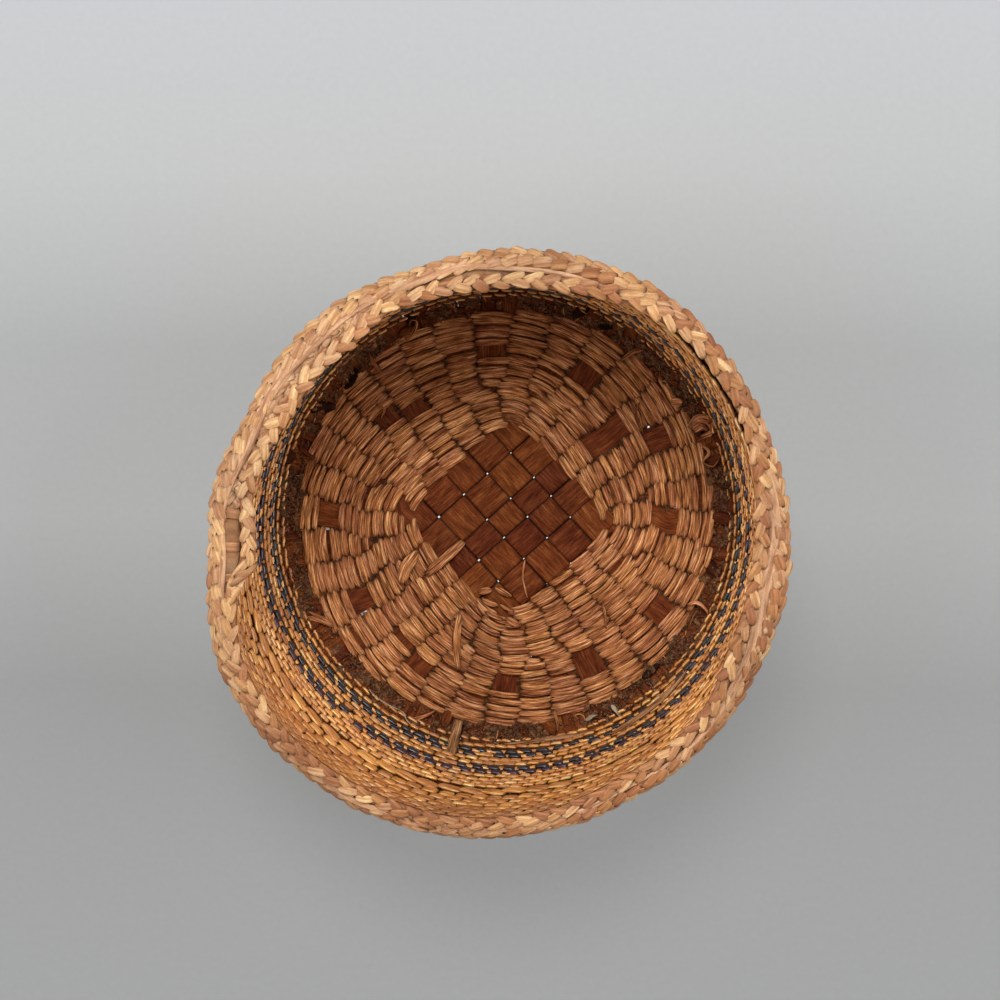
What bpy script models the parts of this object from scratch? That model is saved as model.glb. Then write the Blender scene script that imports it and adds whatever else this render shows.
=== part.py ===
# A small round basket: a plaited bark centre, twined rounds of bark over the base, a wall of
# interlaced rows round the same warps, and a bound hoop with a three-strand braid as its rim.
# Metres, +Z up. The origin is the middle of the underside, on which the basket rests.

import math

import bpy
from mathutils import Vector

MM = 0.001
UP = Vector((0, 0, 1))

# Warps: flat bark strips, plaited in the middle, spread as spokes and turned up the wall
STRIPS_EACH_WAY = 5
CORNER_WARPS = 2
PLAIT_TURN = math.radians(45)
STRIP_PITCH = 5.2 * MM
STRIP_GAP = 0.6 * MM
WARP_THICKNESS = 0.4 * MM
SPOKE_SHARE = 0.6
WALL_WARP_WIDTH = 4.0 * MM

# Clearance between the faces of two pieces that lie on each other
FIT_GAP = 0.2 * MM

# Base: twined pairs, first in rounded squares along the plait and then in circles
FOOT_RADIUS = 40.6 * MM
CORNER_RADIUS = 3.0 * MM
CORNER_STATIONS = 3
PLAIT_MARGIN = 1.0 * MM
SQUARE_ROUNDS = 2
CIRCLE_ROUNDS = 3
BASE_WEFT_THICKNESS = 0.4 * MM
NECK_SHARE = 0.3
TWIST_SHARE = 0.47
TWIST_ROOM = 0.16 * MM

# Wall: the middle of the warps swells outwards from the foot, and turns in again below the rim
WALL_SWELL = 3.6 * MM
SHOULDER_TURN = math.radians(110)
WALL_STATIONS = 5
WALL_WEFT_THICKNESS = 0.4 * MM
ROWS_HEIGHT = 32.6 * MM
# Each row's name, its part of the rows' height and its finish, from the foot up
WALL_ROWS = (
    ("wall_row_foot", 7, "gold grass"),
    ("wall_band_lower", 6.5, "blue-black grass"),
    ("wall_row_between_bands", 11, "gold grass"),
    ("wall_band_upper", 8.5, "violet-black grass"),
    ("wall_row_belly_lower", 16.5, "gold grass"),
    ("wall_row_belly_upper", 16, "gold grass"),
    ("wall_row_shoulder", 16, "pale grass"),
)

# Rim: a flat hoop outside the warps, bound to them, under a flat braid
HOOP_THICKNESS = 1.4 * MM
HOOP_HEIGHT = 2.0 * MM
BINDING_THICKNESS = 0.7 * MM
BINDING_WIDTH = 3.2 * MM
BINDING_ROOM = 0.35 * MM
# Shares of the way from warp to warp where the winding stands clear of a gap and of a warp
BINDING_RISE = 0.12
BINDING_CROSS = 0.42
BRAID_SET_IN = 0.5 * MM
BRAID_SWING = 1.05 * MM
BRAID_LIFT = 0.65 * MM
BRAID_LEAF_WIDTH = 0.9 * MM
BRAID_THICKNESS = 0.4 * MM
BRAID_STRANDS = 3
BRAID_PERIODS = 14
BRAID_STATIONS = 8

# Points nearer than this are one point
MERGE_DISTANCE = 0.01 * MM

# Colour, roughness and metallic value of each finish
FINISHES = {
    "plaited bark": ((0.130, 0.045, 0.020, 1.0), 0.80, 0.0),
    "twined bark": ((0.300, 0.140, 0.060, 1.0), 0.75, 0.0),
    "gold grass": ((0.560, 0.300, 0.100, 1.0), 0.50, 0.0),
    "pale grass": ((0.620, 0.400, 0.180, 1.0), 0.55, 0.0),
    "blue-black grass": ((0.030, 0.032, 0.040, 1.0), 0.55, 0.0),
    "violet-black grass": ((0.045, 0.025, 0.045, 1.0), 0.55, 0.0),
    "hoop wood": ((0.330, 0.150, 0.080, 1.0), 0.70, 0.0),
    "rim straw": ((0.600, 0.360, 0.170, 1.0), 0.55, 0.0),
}

# Worked out from the sizes above
SIDES = 4
WARPS_PER_SIDE = STRIPS_EACH_WAY + CORNER_WARPS
WARP_COUNT = SIDES * WARPS_PER_SIDE
WARP_ANGLE = math.tau / WARP_COUNT
LAST_STRIP = (STRIPS_EACH_WAY - 1) / 2
PLAIT_HALF = STRIPS_EACH_WAY * STRIP_PITCH / 2
PLAIT_LIFT = (WARP_THICKNESS + FIT_GAP) / 2
BASE_LIFT = (WARP_THICKNESS + BASE_WEFT_THICKNESS) / 2 + FIT_GAP
BASE_LEVEL = BASE_LIFT + BASE_WEFT_THICKNESS / 2
SPREAD_RADIUS = LAST_STRIP * STRIP_PITCH / math.sin(LAST_STRIP * WARP_ANGLE)
BASE_EDGE = FOOT_RADIUS - CORNER_RADIUS
WALL_FOOT = BASE_LEVEL + CORNER_RADIUS
WALL_LIFT = (WARP_THICKNESS + WALL_WEFT_THICKNESS) / 2 + FIT_GAP
ROW_PARTS = sum(parts for _, parts, _ in WALL_ROWS)
HOOP_FOOT = WALL_FOOT + ROWS_HEIGHT + FIT_GAP + BINDING_THICKNESS + BINDING_ROOM
WARP_TOP = HOOP_FOOT + HOOP_HEIGHT
BINDING_TOP = WARP_TOP + BINDING_ROOM + BINDING_THICKNESS
BRAID_LEVEL = BINDING_TOP + FIT_GAP + BRAID_LIFT + BRAID_THICKNESS / 2


def clear_scene():
    for obj in list(bpy.data.objects):
        bpy.data.objects.remove(obj, do_unlink=True)


def finish(name):
    """The finish of this name, made on first use."""
    material = bpy.data.materials.get(name)
    if material is None:
        colour, roughness, metallic = FINISHES[name]
        material = bpy.data.materials.new(name)
        material.use_nodes = True
        shader = material.node_tree.nodes["Principled BSDF"]
        shader.inputs["Base Color"].default_value = colour
        shader.inputs["Roughness"].default_value = roughness
        shader.inputs["Metallic"].default_value = metallic
        material.diffuse_color = colour
    return material


def add_mesh_object(name, points, faces, finish_name, collection):
    mesh = bpy.data.meshes.new(name)
    mesh.from_pydata(points, [], faces)
    mesh.materials.append(finish(finish_name))
    mesh.update()
    obj = bpy.data.objects.new(name, mesh)
    collection.objects.link(obj)
    return obj


def add_band(name, edges, closed, thickness, finish_name, collection):
    """A flat band of even thickness through pairs of edge points."""
    points = [point for pair in edges for point in pair]
    count = len(edges)
    joints = count if closed else count - 1
    faces = []
    for station in range(joints):
        here = 2 * station
        there = 2 * ((station + 1) % count)
        faces.append((here, there, there + 1, here + 1))
    obj = add_mesh_object(name, points, faces, finish_name, collection)
    solid = obj.modifiers.new("Thickness", "SOLIDIFY")
    solid.thickness = thickness
    solid.offset = 0
    solid.use_even_offset = True
    return obj


def polar(radius, angle, height):
    return Vector((radius * math.cos(angle), radius * math.sin(angle), height))


def side_angle(side):
    return PLAIT_TURN + side * math.tau / SIDES


def side_point(side, out, across, height):
    """A point in the frame of one side of the plait: so far out from the middle and so far across."""
    angle = side_angle(side)
    x = out * math.cos(angle) - across * math.sin(angle)
    y = out * math.sin(angle) + across * math.cos(angle)
    return Vector((x, y, height))


def tangent(angle):
    return Vector((-math.sin(angle), math.cos(angle), 0))


def wall_radius(height):
    """Radius of the middle of the warps at this height of the wall."""
    share = (height - WALL_FOOT) / (WARP_TOP - WALL_FOOT)
    return FOOT_RADIUS + WALL_SWELL * math.sin(share * SHOULDER_TURN)


def spoke_width(radius):
    """Width of a warp where it runs out over the base."""
    pitch = max(radius * WARP_ANGLE, STRIP_PITCH)
    return min(SPOKE_SHARE * pitch, WALL_WARP_WIDTH)


def rising_stations():
    """Radius and height of a warp from the base's edge round the corner and up to the rim."""
    stations = []
    for step in range(CORNER_STATIONS + 1):
        turn = step / CORNER_STATIONS * math.pi / 2
        radius = BASE_EDGE + CORNER_RADIUS * math.sin(turn)
        stations.append((radius, BASE_LEVEL + CORNER_RADIUS * (1 - math.cos(turn))))
    for step in range(1, WALL_STATIONS + 1):
        height = WALL_FOOT + step / WALL_STATIONS * (WARP_TOP - WALL_FOOT)
        stations.append((wall_radius(height), height))
    return stations


def rising_edges(angle):
    """Edge points of a warp from the base's edge to the rim."""
    edges = []
    for radius, height in rising_stations():
        middle = polar(radius, angle, height)
        half = tangent(angle) * spoke_width(radius) / 2
        edges.append((middle - half, middle + half))
    return edges


def spread_edges(side, strip):
    """Edge points of one end of a plaited strip, from the plait out to the rim."""
    across = strip * STRIP_PITCH
    angle = side_angle(side) + strip * WARP_ANGLE
    half = SPOKE_SHARE * STRIP_PITCH / 2
    level_start = PLAIT_HALF + PLAIT_MARGIN
    edges = [
        (
            side_point(side, level_start, across - half, BASE_LEVEL),
            side_point(side, level_start, across + half, BASE_LEVEL),
        )
    ]
    middle = polar(SPREAD_RADIUS, angle, BASE_LEVEL)
    lean = tangent(angle) * spoke_width(SPREAD_RADIUS) / 2
    edges.append((middle - lean, middle + lean))
    return edges + rising_edges(angle)


def plait_edges(strip, direction, first_over):
    """Edge points of a strip across the plait, over one cross strip and under the next."""
    half = (STRIP_PITCH - STRIP_GAP) / 2
    edges = []
    for crossing in range(STRIPS_EACH_WAY):
        centre = (crossing - LAST_STRIP) * STRIP_PITCH
        over = (crossing % 2 == 0) == first_over
        level = BASE_LEVEL + (PLAIT_LIFT if over else -PLAIT_LIFT)
        for out in (centre - half, centre + half):
            left = side_point(direction, out, strip * STRIP_PITCH - half, level)
            right = side_point(direction, out, strip * STRIP_PITCH + half, level)
            edges.append((left, right))
    return edges


def add_plaited_strips(collection):
    """The strips of both directions, each from the rim across the plait to the rim."""
    for direction, letter in ((0, "a"), (1, "b")):
        for number in range(STRIPS_EACH_WAY):
            strip = number - LAST_STRIP
            over = (number % 2 == 0) == (direction == 0)
            far_end = spread_edges(direction, strip)
            near_end = spread_edges(direction + 2, -strip)
            near_end = [(right, left) for left, right in reversed(near_end)]
            edges = near_end + plait_edges(strip, direction, over) + far_end
            name = f"plaited_strip_{letter}_{number + 1}"
            add_band(name, edges, False, WARP_THICKNESS, "plaited bark", collection)


def corner_warp_angle(side, number):
    return side_angle(side) + (LAST_STRIP + number) * WARP_ANGLE


def add_corner_warps(collection):
    """Warps laid in at the corners of the plait, where the spokes would stand too far apart."""
    for side in range(SIDES):
        for number in range(1, CORNER_WARPS + 1):
            angle = corner_warp_angle(side, number)
            start = polar(SPREAD_RADIUS + FIT_GAP, angle, BASE_LEVEL)
            half = tangent(angle) * spoke_width(SPREAD_RADIUS) / 2
            edges = [(start - half, start + half)] + rising_edges(angle)
            name = f"corner_warp_{side * CORNER_WARPS + number}"
            add_band(name, edges, False, WARP_THICKNESS, "plaited bark", collection)


def twined_width(pitch):
    """Width of a twined weft that leaves room for the turns between this round and the next."""
    room = 2 * TWIST_ROOM + FIT_GAP
    return (pitch - room) / (2 * TWIST_SHARE + NECK_SHARE)


def crossing(middle, directions, warp_width, weft_width):
    """Where a weft crosses a warp: the warp's middle, its directions there and both widths."""
    across, along, normal = directions
    return {
        "middle": middle,
        "across": across,
        "along": along,
        "normal": normal,
        "half": (warp_width + FIT_GAP) / 2,
        "weft": weft_width,
    }


def square_start():
    return PLAIT_HALF + PLAIT_MARGIN


def square_out(reach, across):
    """How far out a rounded square crosses a strip: near the plait it is square, then rounder."""
    roundness = (reach - square_start()) / (SPREAD_RADIUS - square_start())
    circle = math.sqrt(reach**2 - across**2)
    return reach - (reach - circle) * roundness


def square_crossings(reach, pitch):
    crossings = []
    for side in range(SIDES):
        along = polar(1, side_angle(side), 0)
        directions = (tangent(side_angle(side)), along, UP)
        for number in range(STRIPS_EACH_WAY):
            across = (number - LAST_STRIP) * STRIP_PITCH
            middle = side_point(side, square_out(reach, across), across, BASE_LEVEL)
            outer = square_out(reach + pitch / 2, across)
            inner = square_out(reach - pitch / 2, across)
            weft_width = twined_width(outer - inner)
            crossings.append(crossing(middle, directions, SPOKE_SHARE * STRIP_PITCH, weft_width))
    return crossings


def warp_angles():
    """Angle of every warp, in turn round the basket."""
    start = PLAIT_TURN - LAST_STRIP * WARP_ANGLE
    return [start + number * WARP_ANGLE for number in range(WARP_COUNT)]


def circle_crossings(radius, pitch):
    crossings = []
    for angle in warp_angles():
        middle = polar(radius, angle, BASE_LEVEL)
        directions = (tangent(angle), polar(1, angle, 0), UP)
        crossings.append(crossing(middle, directions, spoke_width(radius), twined_width(pitch)))
    return crossings


def wall_crossings(low, high):
    """Crossings of a row that fills the wall between two heights."""
    rise = Vector((wall_radius(high) - wall_radius(low), 0, high - low))
    radius = (wall_radius(high) + wall_radius(low)) / 2
    slope = math.atan2(rise.x, rise.z)
    crossings = []
    for angle in warp_angles():
        outward = polar(1, angle, 0)
        along = outward * math.sin(slope) + UP * math.cos(slope)
        normal = UP * math.sin(slope) - outward * math.cos(slope)
        middle = polar(radius, angle, (low + high) / 2)
        directions = (tangent(angle), along, normal)
        crossings.append(
            crossing(middle, directions, spoke_width(radius), rise.length - FIT_GAP)
        )
    return crossings


def interlaced_edges(crossings, lift, phase):
    """Edge points of a weft that passes over one warp and under the next, all the way round."""
    edges = []
    for number, warp in enumerate(crossings):
        side = 1 if (number + phase) % 2 == 0 else -1
        half_weft = warp["along"] * warp["weft"] / 2
        for end in (-1, 1):
            middle = warp["middle"] + warp["across"] * end * warp["half"]
            middle += warp["normal"] * side * lift
            edges.append((middle - half_weft, middle + half_weft))
    return edges


def twined_edges(crossings, lift, phase):
    """Edge points of one weft of a twined pair, which turn round each other between the warps."""
    flat = interlaced_edges(crossings, lift, phase)
    edges = []
    for number, warp in enumerate(crossings):
        leaving = flat[2 * number + 1]
        coming = flat[(2 * number + 2) % len(flat)]
        side = 1 if (number + phase) % 2 == 0 else -1
        following = crossings[(number + 1) % len(crossings)]
        along = (warp["along"] + following["along"]).normalized()
        # The rounds crowd together where they turn the plait's corners
        width = (warp["weft"] + following["weft"]) / 2 * along.dot(warp["along"])
        between = (sum(leaving, Vector()) + sum(coming, Vector())) / 4
        between += along * side * (TWIST_SHARE * width + TWIST_ROOM)
        neck = along * NECK_SHARE * width / 2
        edges += [flat[2 * number], leaving, (between - neck, between + neck)]
    return edges


def add_twined_round(name, crossings, collection):
    for phase, letter in enumerate("ab"):
        edges = twined_edges(crossings, BASE_LIFT, phase)
        add_band(
            f"{name}_{letter}", edges, True, BASE_WEFT_THICKNESS, "twined bark", collection
        )


def add_base_rounds(collection):
    """Twined pairs from the plait out to the corner."""
    pitch = (SPREAD_RADIUS - square_start()) / SQUARE_ROUNDS
    for number in range(SQUARE_ROUNDS):
        reach = square_start() + (number + 0.5) * pitch
        add_twined_round(
            f"base_round_{number + 1}", square_crossings(reach, pitch), collection
        )
    pitch = (BASE_EDGE - SPREAD_RADIUS) / CIRCLE_ROUNDS
    for number in range(CIRCLE_ROUNDS):
        radius = SPREAD_RADIUS + (number + 0.5) * pitch
        name = f"base_round_{SQUARE_ROUNDS + number + 1}"
        add_twined_round(name, circle_crossings(radius, pitch), collection)


def add_wall_rows(collection):
    """Closed wefts one above the other, each over the warps that the one below goes under."""
    low = WALL_FOOT
    for number, (name, parts, finish_name) in enumerate(WALL_ROWS):
        height = ROWS_HEIGHT * parts / ROW_PARTS
        edges = interlaced_edges(wall_crossings(low, low + height), WALL_LIFT, number)
        add_band(name, edges, True, WALL_WEFT_THICKNESS, finish_name, collection)
        low += height


def hoop_inner_radius():
    return wall_radius(WARP_TOP) + WARP_THICKNESS / 2 + FIT_GAP


def add_rim_hoop(collection):
    """A flat hoop turned about the basket's axis."""
    inner = hoop_inner_radius()
    outer = inner + HOOP_THICKNESS
    profile = [
        (outer, 0, WARP_TOP),
        (outer, 0, HOOP_FOOT),
        (inner, 0, HOOP_FOOT),
        (inner, 0, WARP_TOP),
    ]
    mesh = bpy.data.meshes.new("rim_hoop")
    mesh.from_pydata(profile, [(0, 1), (1, 2), (2, 3), (3, 0)], [])
    mesh.materials.append(finish("hoop wood"))
    obj = bpy.data.objects.new("rim_hoop", mesh)
    collection.objects.link(obj)
    turn = obj.modifiers.new("Turn", "SCREW")
    turn.steps = 2 * WARP_COUNT
    turn.render_steps = turn.steps
    turn.use_merge_vertices = True
    turn.merge_threshold = MERGE_DISTANCE


def add_rim_binding(collection):
    """One strand wound round the hoop and the warp ends, once for each warp."""
    room = BINDING_ROOM + BINDING_THICKNESS / 2
    inside = wall_radius(WARP_TOP) - WARP_THICKNESS / 2 - room
    outside = hoop_inner_radius() + HOOP_THICKNESS + room
    under = HOOP_FOOT - room
    over = WARP_TOP + room
    turn = (
        (BINDING_RISE, outside, under),
        (BINDING_CROSS, outside, over),
        (1 - BINDING_CROSS, inside, over),
        (1 - BINDING_RISE, inside, under),
    )
    edges = []
    for angle in warp_angles():
        gap_start = angle - WARP_ANGLE / 2
        for share, radius, height in turn:
            where = gap_start + share * WARP_ANGLE
            middle = polar(radius, where, height)
            half = tangent(where) * BINDING_WIDTH / 2
            edges.append((middle - half, middle + half))
    add_band("rim_binding", edges, True, BINDING_THICKNESS, "rim straw", collection)


def add_rim_braid(collection):
    """A flat braid: each strand swings from side to side and lifts over its neighbours in turn."""
    count = BRAID_PERIODS * BRAID_STATIONS
    middle = wall_radius(WARP_TOP) - BRAID_SET_IN
    for strand in range(BRAID_STRANDS):
        edges = []
        for station in range(count):
            angle = station / count * math.tau
            phase = BRAID_PERIODS * angle + strand * math.tau / BRAID_STRANDS
            radius = middle + BRAID_SWING * math.sin(phase)
            height = BRAID_LEVEL + BRAID_LIFT * math.sin(2 * phase)
            inner = polar(radius - BRAID_LEAF_WIDTH / 2, angle, height)
            outer = polar(radius + BRAID_LEAF_WIDTH / 2, angle, height)
            edges.append((inner, outer))
        name = f"rim_braid_strand_{strand + 1}"
        add_band(name, edges, True, BRAID_THICKNESS, "rim straw", collection)


def main():
    clear_scene()
    basket = bpy.data.collections.new("basket")
    bpy.context.scene.collection.children.link(basket)
    add_plaited_strips(basket)
    add_corner_warps(basket)
    add_base_rounds(basket)
    add_wall_rows(basket)
    add_rim_hoop(basket)
    add_rim_binding(basket)
    add_rim_braid(basket)


main()
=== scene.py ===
import math

import bpy
import numpy as np
from mathutils import Matrix, Vector


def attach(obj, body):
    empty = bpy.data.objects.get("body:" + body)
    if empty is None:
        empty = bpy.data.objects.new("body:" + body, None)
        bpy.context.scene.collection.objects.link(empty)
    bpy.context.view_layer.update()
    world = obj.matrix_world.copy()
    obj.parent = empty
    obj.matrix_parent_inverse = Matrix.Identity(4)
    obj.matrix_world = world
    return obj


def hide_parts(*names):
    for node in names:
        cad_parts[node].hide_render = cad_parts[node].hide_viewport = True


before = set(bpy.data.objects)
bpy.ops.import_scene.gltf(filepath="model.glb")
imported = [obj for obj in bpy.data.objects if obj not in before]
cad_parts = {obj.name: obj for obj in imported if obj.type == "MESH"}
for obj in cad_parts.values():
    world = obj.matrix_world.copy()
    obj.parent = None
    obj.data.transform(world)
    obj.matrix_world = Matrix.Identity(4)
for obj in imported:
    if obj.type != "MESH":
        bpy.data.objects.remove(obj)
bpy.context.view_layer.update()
print("stage: frame loaded", len(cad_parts), "nodes")

# Lengths in the dictionaries are millimetres and angles are degrees, seen from above.
mm = 0.001
fullTurn = 2 * math.pi
waveTurns = np.array([3, 5, 8, 11, 15, 21])  # how often each part of an uneven wave swings in one round

# The wall's outline, as it is in the solid model.
wall = dict(footRadius=40.6, swell=3.6, footHeight=3.8, topHeight=39.65, shoulderTurn=110)
footTop = 4.0

# How the old basket has gone out of round: the rim is longer on one diagonal, three-sided by a little,
# pushed sideways and narrower at the bottom of the picture; the foot of the wall is pressed in at the right.
# The bumps push a short stretch of the rim outwards: angle, spread and how far.
outOfRound = dict(
    heights=(5.0, 40.0), rimHeights=(28, 41), stretch=0.027, longAxis=57, shiftX=-0.85, shiftY=0.7,
    waveOut=0.14, waveUp=0.2, threeSided=-0.36,
    narrowAt=275, narrowSpread=55, narrowBy=0.28, narrowRadius=44.6, narrowHeights=(34, 39),
    dentAt=-2, dentSpread=48, dentDepth=0.7, dentHeights=(10, 36), dentRadii=(22, 41),
    bumps=((181, 13, -1.0), (201, 7, 0.45), (216, 14, -0.2), (231, 12, -0.45), (55, 14, 0.4),
           (122, 12, 0.5), (106, 14, -0.7), (152, 8, -0.7), (165, 8, 0.2), (250, 16, 0.1),
           (300, 25, 0.1), (350, 8, 0.2)))


def bellAt(angles, middle, spread):
    # one in the middle of a stretch of the rim, falling to nothing on both sides
    away = (np.degrees(angles) - middle + 180) % 360 - 180
    return np.exp(-(away / spread) ** 2)


def bellsAt(angles, bells, everywhere=0.0):
    # a share that is raised in a few stretches of the rim: angle, spread and how much
    return sum((amount * bellAt(angles, middle, spread) for middle, spread, amount in bells), everywhere)


def smooth(value, low, high):
    share = np.clip((value - low) / (high - low), 0, 1)
    return share * share * (3 - 2 * share)


def tapered(share, amount, power):
    # one in the middle of a strand, less by the amount at both ends
    return 1 - amount * np.abs(share) ** power


def unit(vectors):
    return vectors / np.maximum(np.linalg.norm(vectors, axis=-1, keepdims=True), 1e-9)


def aroundAt(angles, radius, height):
    # points on circles; angles in radians
    angles, radius, height = np.broadcast_arrays(angles, radius, height)
    return np.stack([radius * np.cos(angles), radius * np.sin(angles), height], axis=-1)


def wallRadius(height):
    share = (height - wall["footHeight"]) / (wall["topHeight"] - wall["footHeight"])
    return wall["footRadius"] + wall["swell"] * np.sin(share * math.radians(wall["shoulderTurn"]))


def footRadius(height):
    # below footTop the wall curls in under itself
    return np.interp(height, [1.0, 2.0, 3.0, footTop], [38.9, 39.6, 40.2, wallRadius(footTop)])


def outward(angles):
    return aroundAt(angles, 1.0, 0.0)


def rimWave(angles, seed, size):
    # a slow uneven wave round the rim, another one for each seed
    chance = np.random.default_rng(seed)
    heights = chance.normal(0, 1, len(waveTurns)) / np.sqrt(len(waveTurns)) * size
    starts = chance.uniform(0, fullTurn, len(waveTurns))
    return (heights * np.cos(angles[..., None] * waveTurns + starts)).sum(axis=-1)


def settle(points):
    # moves finished points from the true circle to the worn one
    share = smooth(points[:, 2], *outOfRound["heights"])
    turn = math.radians(outOfRound["longAxis"])
    along = points[:, 0] * math.cos(turn) + points[:, 1] * math.sin(turn)
    across = points[:, 1] * math.cos(turn) - points[:, 0] * math.sin(turn)
    along = along * (1 + outOfRound["stretch"] * share)
    across = across * (1 - outOfRound["stretch"] * share)
    moved = points.copy()
    moved[:, 0] = along * math.cos(turn) - across * math.sin(turn) + outOfRound["shiftX"] * share
    moved[:, 1] = along * math.sin(turn) + across * math.cos(turn) + outOfRound["shiftY"] * share
    angles = np.arctan2(points[:, 1], points[:, 0])
    radii = np.maximum(np.hypot(points[:, 0], points[:, 1]), 1.0)
    nearRim = smooth(points[:, 2], *outOfRound["rimHeights"])
    out = nearRim * rimWave(angles, 11, outOfRound["waveOut"])
    out += share * outOfRound["threeSided"] * np.sin(3 * angles)
    for middle, spread, push in outOfRound["bumps"]:
        out += nearRim * push * bellAt(angles, middle, spread)
    narrow = outOfRound["narrowBy"] * bellAt(angles, outOfRound["narrowAt"], outOfRound["narrowSpread"])
    narrow = narrow * smooth(points[:, 2], *outOfRound["narrowHeights"])
    out -= narrow * (radii - outOfRound["narrowRadius"])
    dent = bellAt(angles, outOfRound["dentAt"], outOfRound["dentSpread"])
    dent = dent * (1 - smooth(points[:, 2], *outOfRound["dentHeights"]))
    out -= outOfRound["dentDepth"] * dent * smooth(radii, *outOfRound["dentRadii"])
    moved[:, :2] *= (1 + out / radii)[:, None]
    moved[:, 2] += nearRim * rimWave(angles, 12, outOfRound["waveUp"])
    return moved


# What every strand has: what a groove leaves of it, how far a ridge moves it sideways, and how far apart
# the strands lie in the grain, along it and across it, so that no two look alike.
strand = dict(grooveLeft=0.55, ridgeAcross=0.4, grainApart=400, grainAcross=0.7)


def loft(path, lift, width, depth, ring=8, ridges=0.0, grooves=0.0, flat=1.0, seed=1, dye=0.0, tone=None,
         paintedShadeAtEnds="both"):
    # A batch of closed strands, or a single one. path and lift are (strands, stations, 3) and give each
    # strand's middle line and the way its face looks; width and depth are its half sizes at each station.
    # the last argument says which ends get painted shade: both, the first one where it dips under another, or
    # none.
    path = np.asarray(path, float).reshape(-1, *np.shape(path)[-2:])
    count, stations = path.shape[:2]
    chance = np.random.default_rng(seed)
    lift = np.broadcast_to(lift, path.shape)
    width = np.broadcast_to(width, (count, stations))
    depth = np.broadcast_to(depth, (count, stations))
    run = np.gradient(path, axis=1)
    side = unit(np.cross(lift, run))
    face = unit(np.cross(run, side))
    turn = (np.arange(ring) + 0.5) / ring * fullTurn
    # ridges run lengthwise and drift slowly; a groove splits some strands in two
    control = chance.uniform(-1, 1, (count, 3, ring))
    place = np.linspace(0, 2, stations)
    before = np.minimum(place.astype(int), 1)
    part = (place - before)[None, :, None]
    uneven = 1 + ridges * (control[:, before] * (1 - part) + control[:, before + 1] * part)
    split = np.flatnonzero(chance.uniform(0, 1, count) < grooves)
    uneven[split, :, chance.integers(1, max(ring // 2 - 1, 2), len(split))] *= strand["grooveLeft"]
    across = np.sign(np.cos(turn)) * np.abs(np.cos(turn)) ** flat
    across = across * (1 + strand["ridgeAcross"] * (uneven - 1))
    rise = np.sign(np.sin(turn)) * np.abs(np.sin(turn)) ** flat * uneven
    reach = width[..., None] * across
    points = path[:, :, None] + side[:, :, None] * reach[..., None]
    points = points + face[:, :, None] * (depth[..., None] * rise)[..., None]
    points = np.concatenate([points.reshape(-1, 3), path[:, 0], path[:, -1]])

    first = (np.arange(count) * stations * ring)[:, None, None]
    level = (np.arange(stations - 1) * ring)[None, :, None]
    here = np.arange(ring)[None, None, :]
    after = (here + 1) % ring
    quads = np.stack(
        [first + level + here, first + level + after,
         first + level + ring + after, first + level + ring + here], axis=-1).reshape(-1, 4)
    total = count * stations * ring
    last = first[:, 0] + (stations - 1) * ring
    startTip = np.broadcast_to((total + np.arange(count))[:, None], (count, ring))
    startCap = np.stack([startTip, first[:, 0] + after[0], first[:, 0] + here[0]], axis=-1)
    endCap = np.stack([startTip + count, last + here[0], last + after[0]], axis=-1)
    tris = np.concatenate([startCap.reshape(-1, 3), endCap.reshape(-1, 3)])

    # where each point lies on its own strand, for the grain in the materials
    steps = np.linalg.norm(np.diff(path, axis=1), axis=2)
    length = np.concatenate([np.zeros((count, 1)), np.cumsum(steps, axis=1)], axis=1)
    apart = chance.uniform(0, strand["grainApart"], count)
    apartAcross = apart * strand["grainAcross"]
    share = np.broadcast_to(np.linspace(-1, 1, stations), (count, stations))
    # how near each station is to an end that gets painted shade
    ends = dict(both=np.abs(share), first=np.clip(-share, 0, 1), none=0 * share)[paintedShadeAtEnds]
    tone = chance.uniform(0, 1, count) if tone is None else tone
    # one value for all the strands, one for each, or one for each station
    tone, dye = (
        np.broadcast_to(value if np.ndim(value) == 2 else np.reshape(value, (-1, 1)), (count, stations))
        for value in (tone, dye))
    shape = (count, stations, ring)
    grain = np.stack([
        np.broadcast_to((length + apart[:, None])[..., None], shape),
        reach + apartAcross[:, None, None],
        np.broadcast_to(rise, shape)], axis=-1).reshape(-1, 3)
    look = np.stack([
        np.broadcast_to(tone[..., None], shape),
        np.broadcast_to(ends[..., None], shape),
        np.broadcast_to(dye[..., None], shape)], axis=-1).reshape(-1, 3)
    tips = [np.stack([end + apart, apartAcross, 0 * apart], axis=-1) for end in (length[:, 0], length[:, -1])]
    tipLook = np.stack([tone[:, 0], np.full(count, float(paintedShadeAtEnds != "none")), dye[:, 0]], axis=-1)
    return dict(
        points=points, quads=quads, tris=tris,
        grain=np.concatenate([grain, *tips]), look=np.concatenate([look, tipLook, tipLook]))


def curveThrough(points, stations):
    points = np.asarray(points, float)
    padded = np.concatenate([[2 * points[0] - points[1]], points, [2 * points[-1] - points[-2]]])
    place = np.linspace(0, len(points) - 1 - 1e-6, stations)
    first = place.astype(int)
    part = (place - first)[:, None]
    a, b, c, d = (padded[first + shift] for shift in range(4))
    return 0.5 * (2 * b + (c - a) * part + (2 * a - 5 * b + 4 * c - d) * part ** 2
                  + (3 * b - a - 3 * c + d) * part ** 3)


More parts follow.
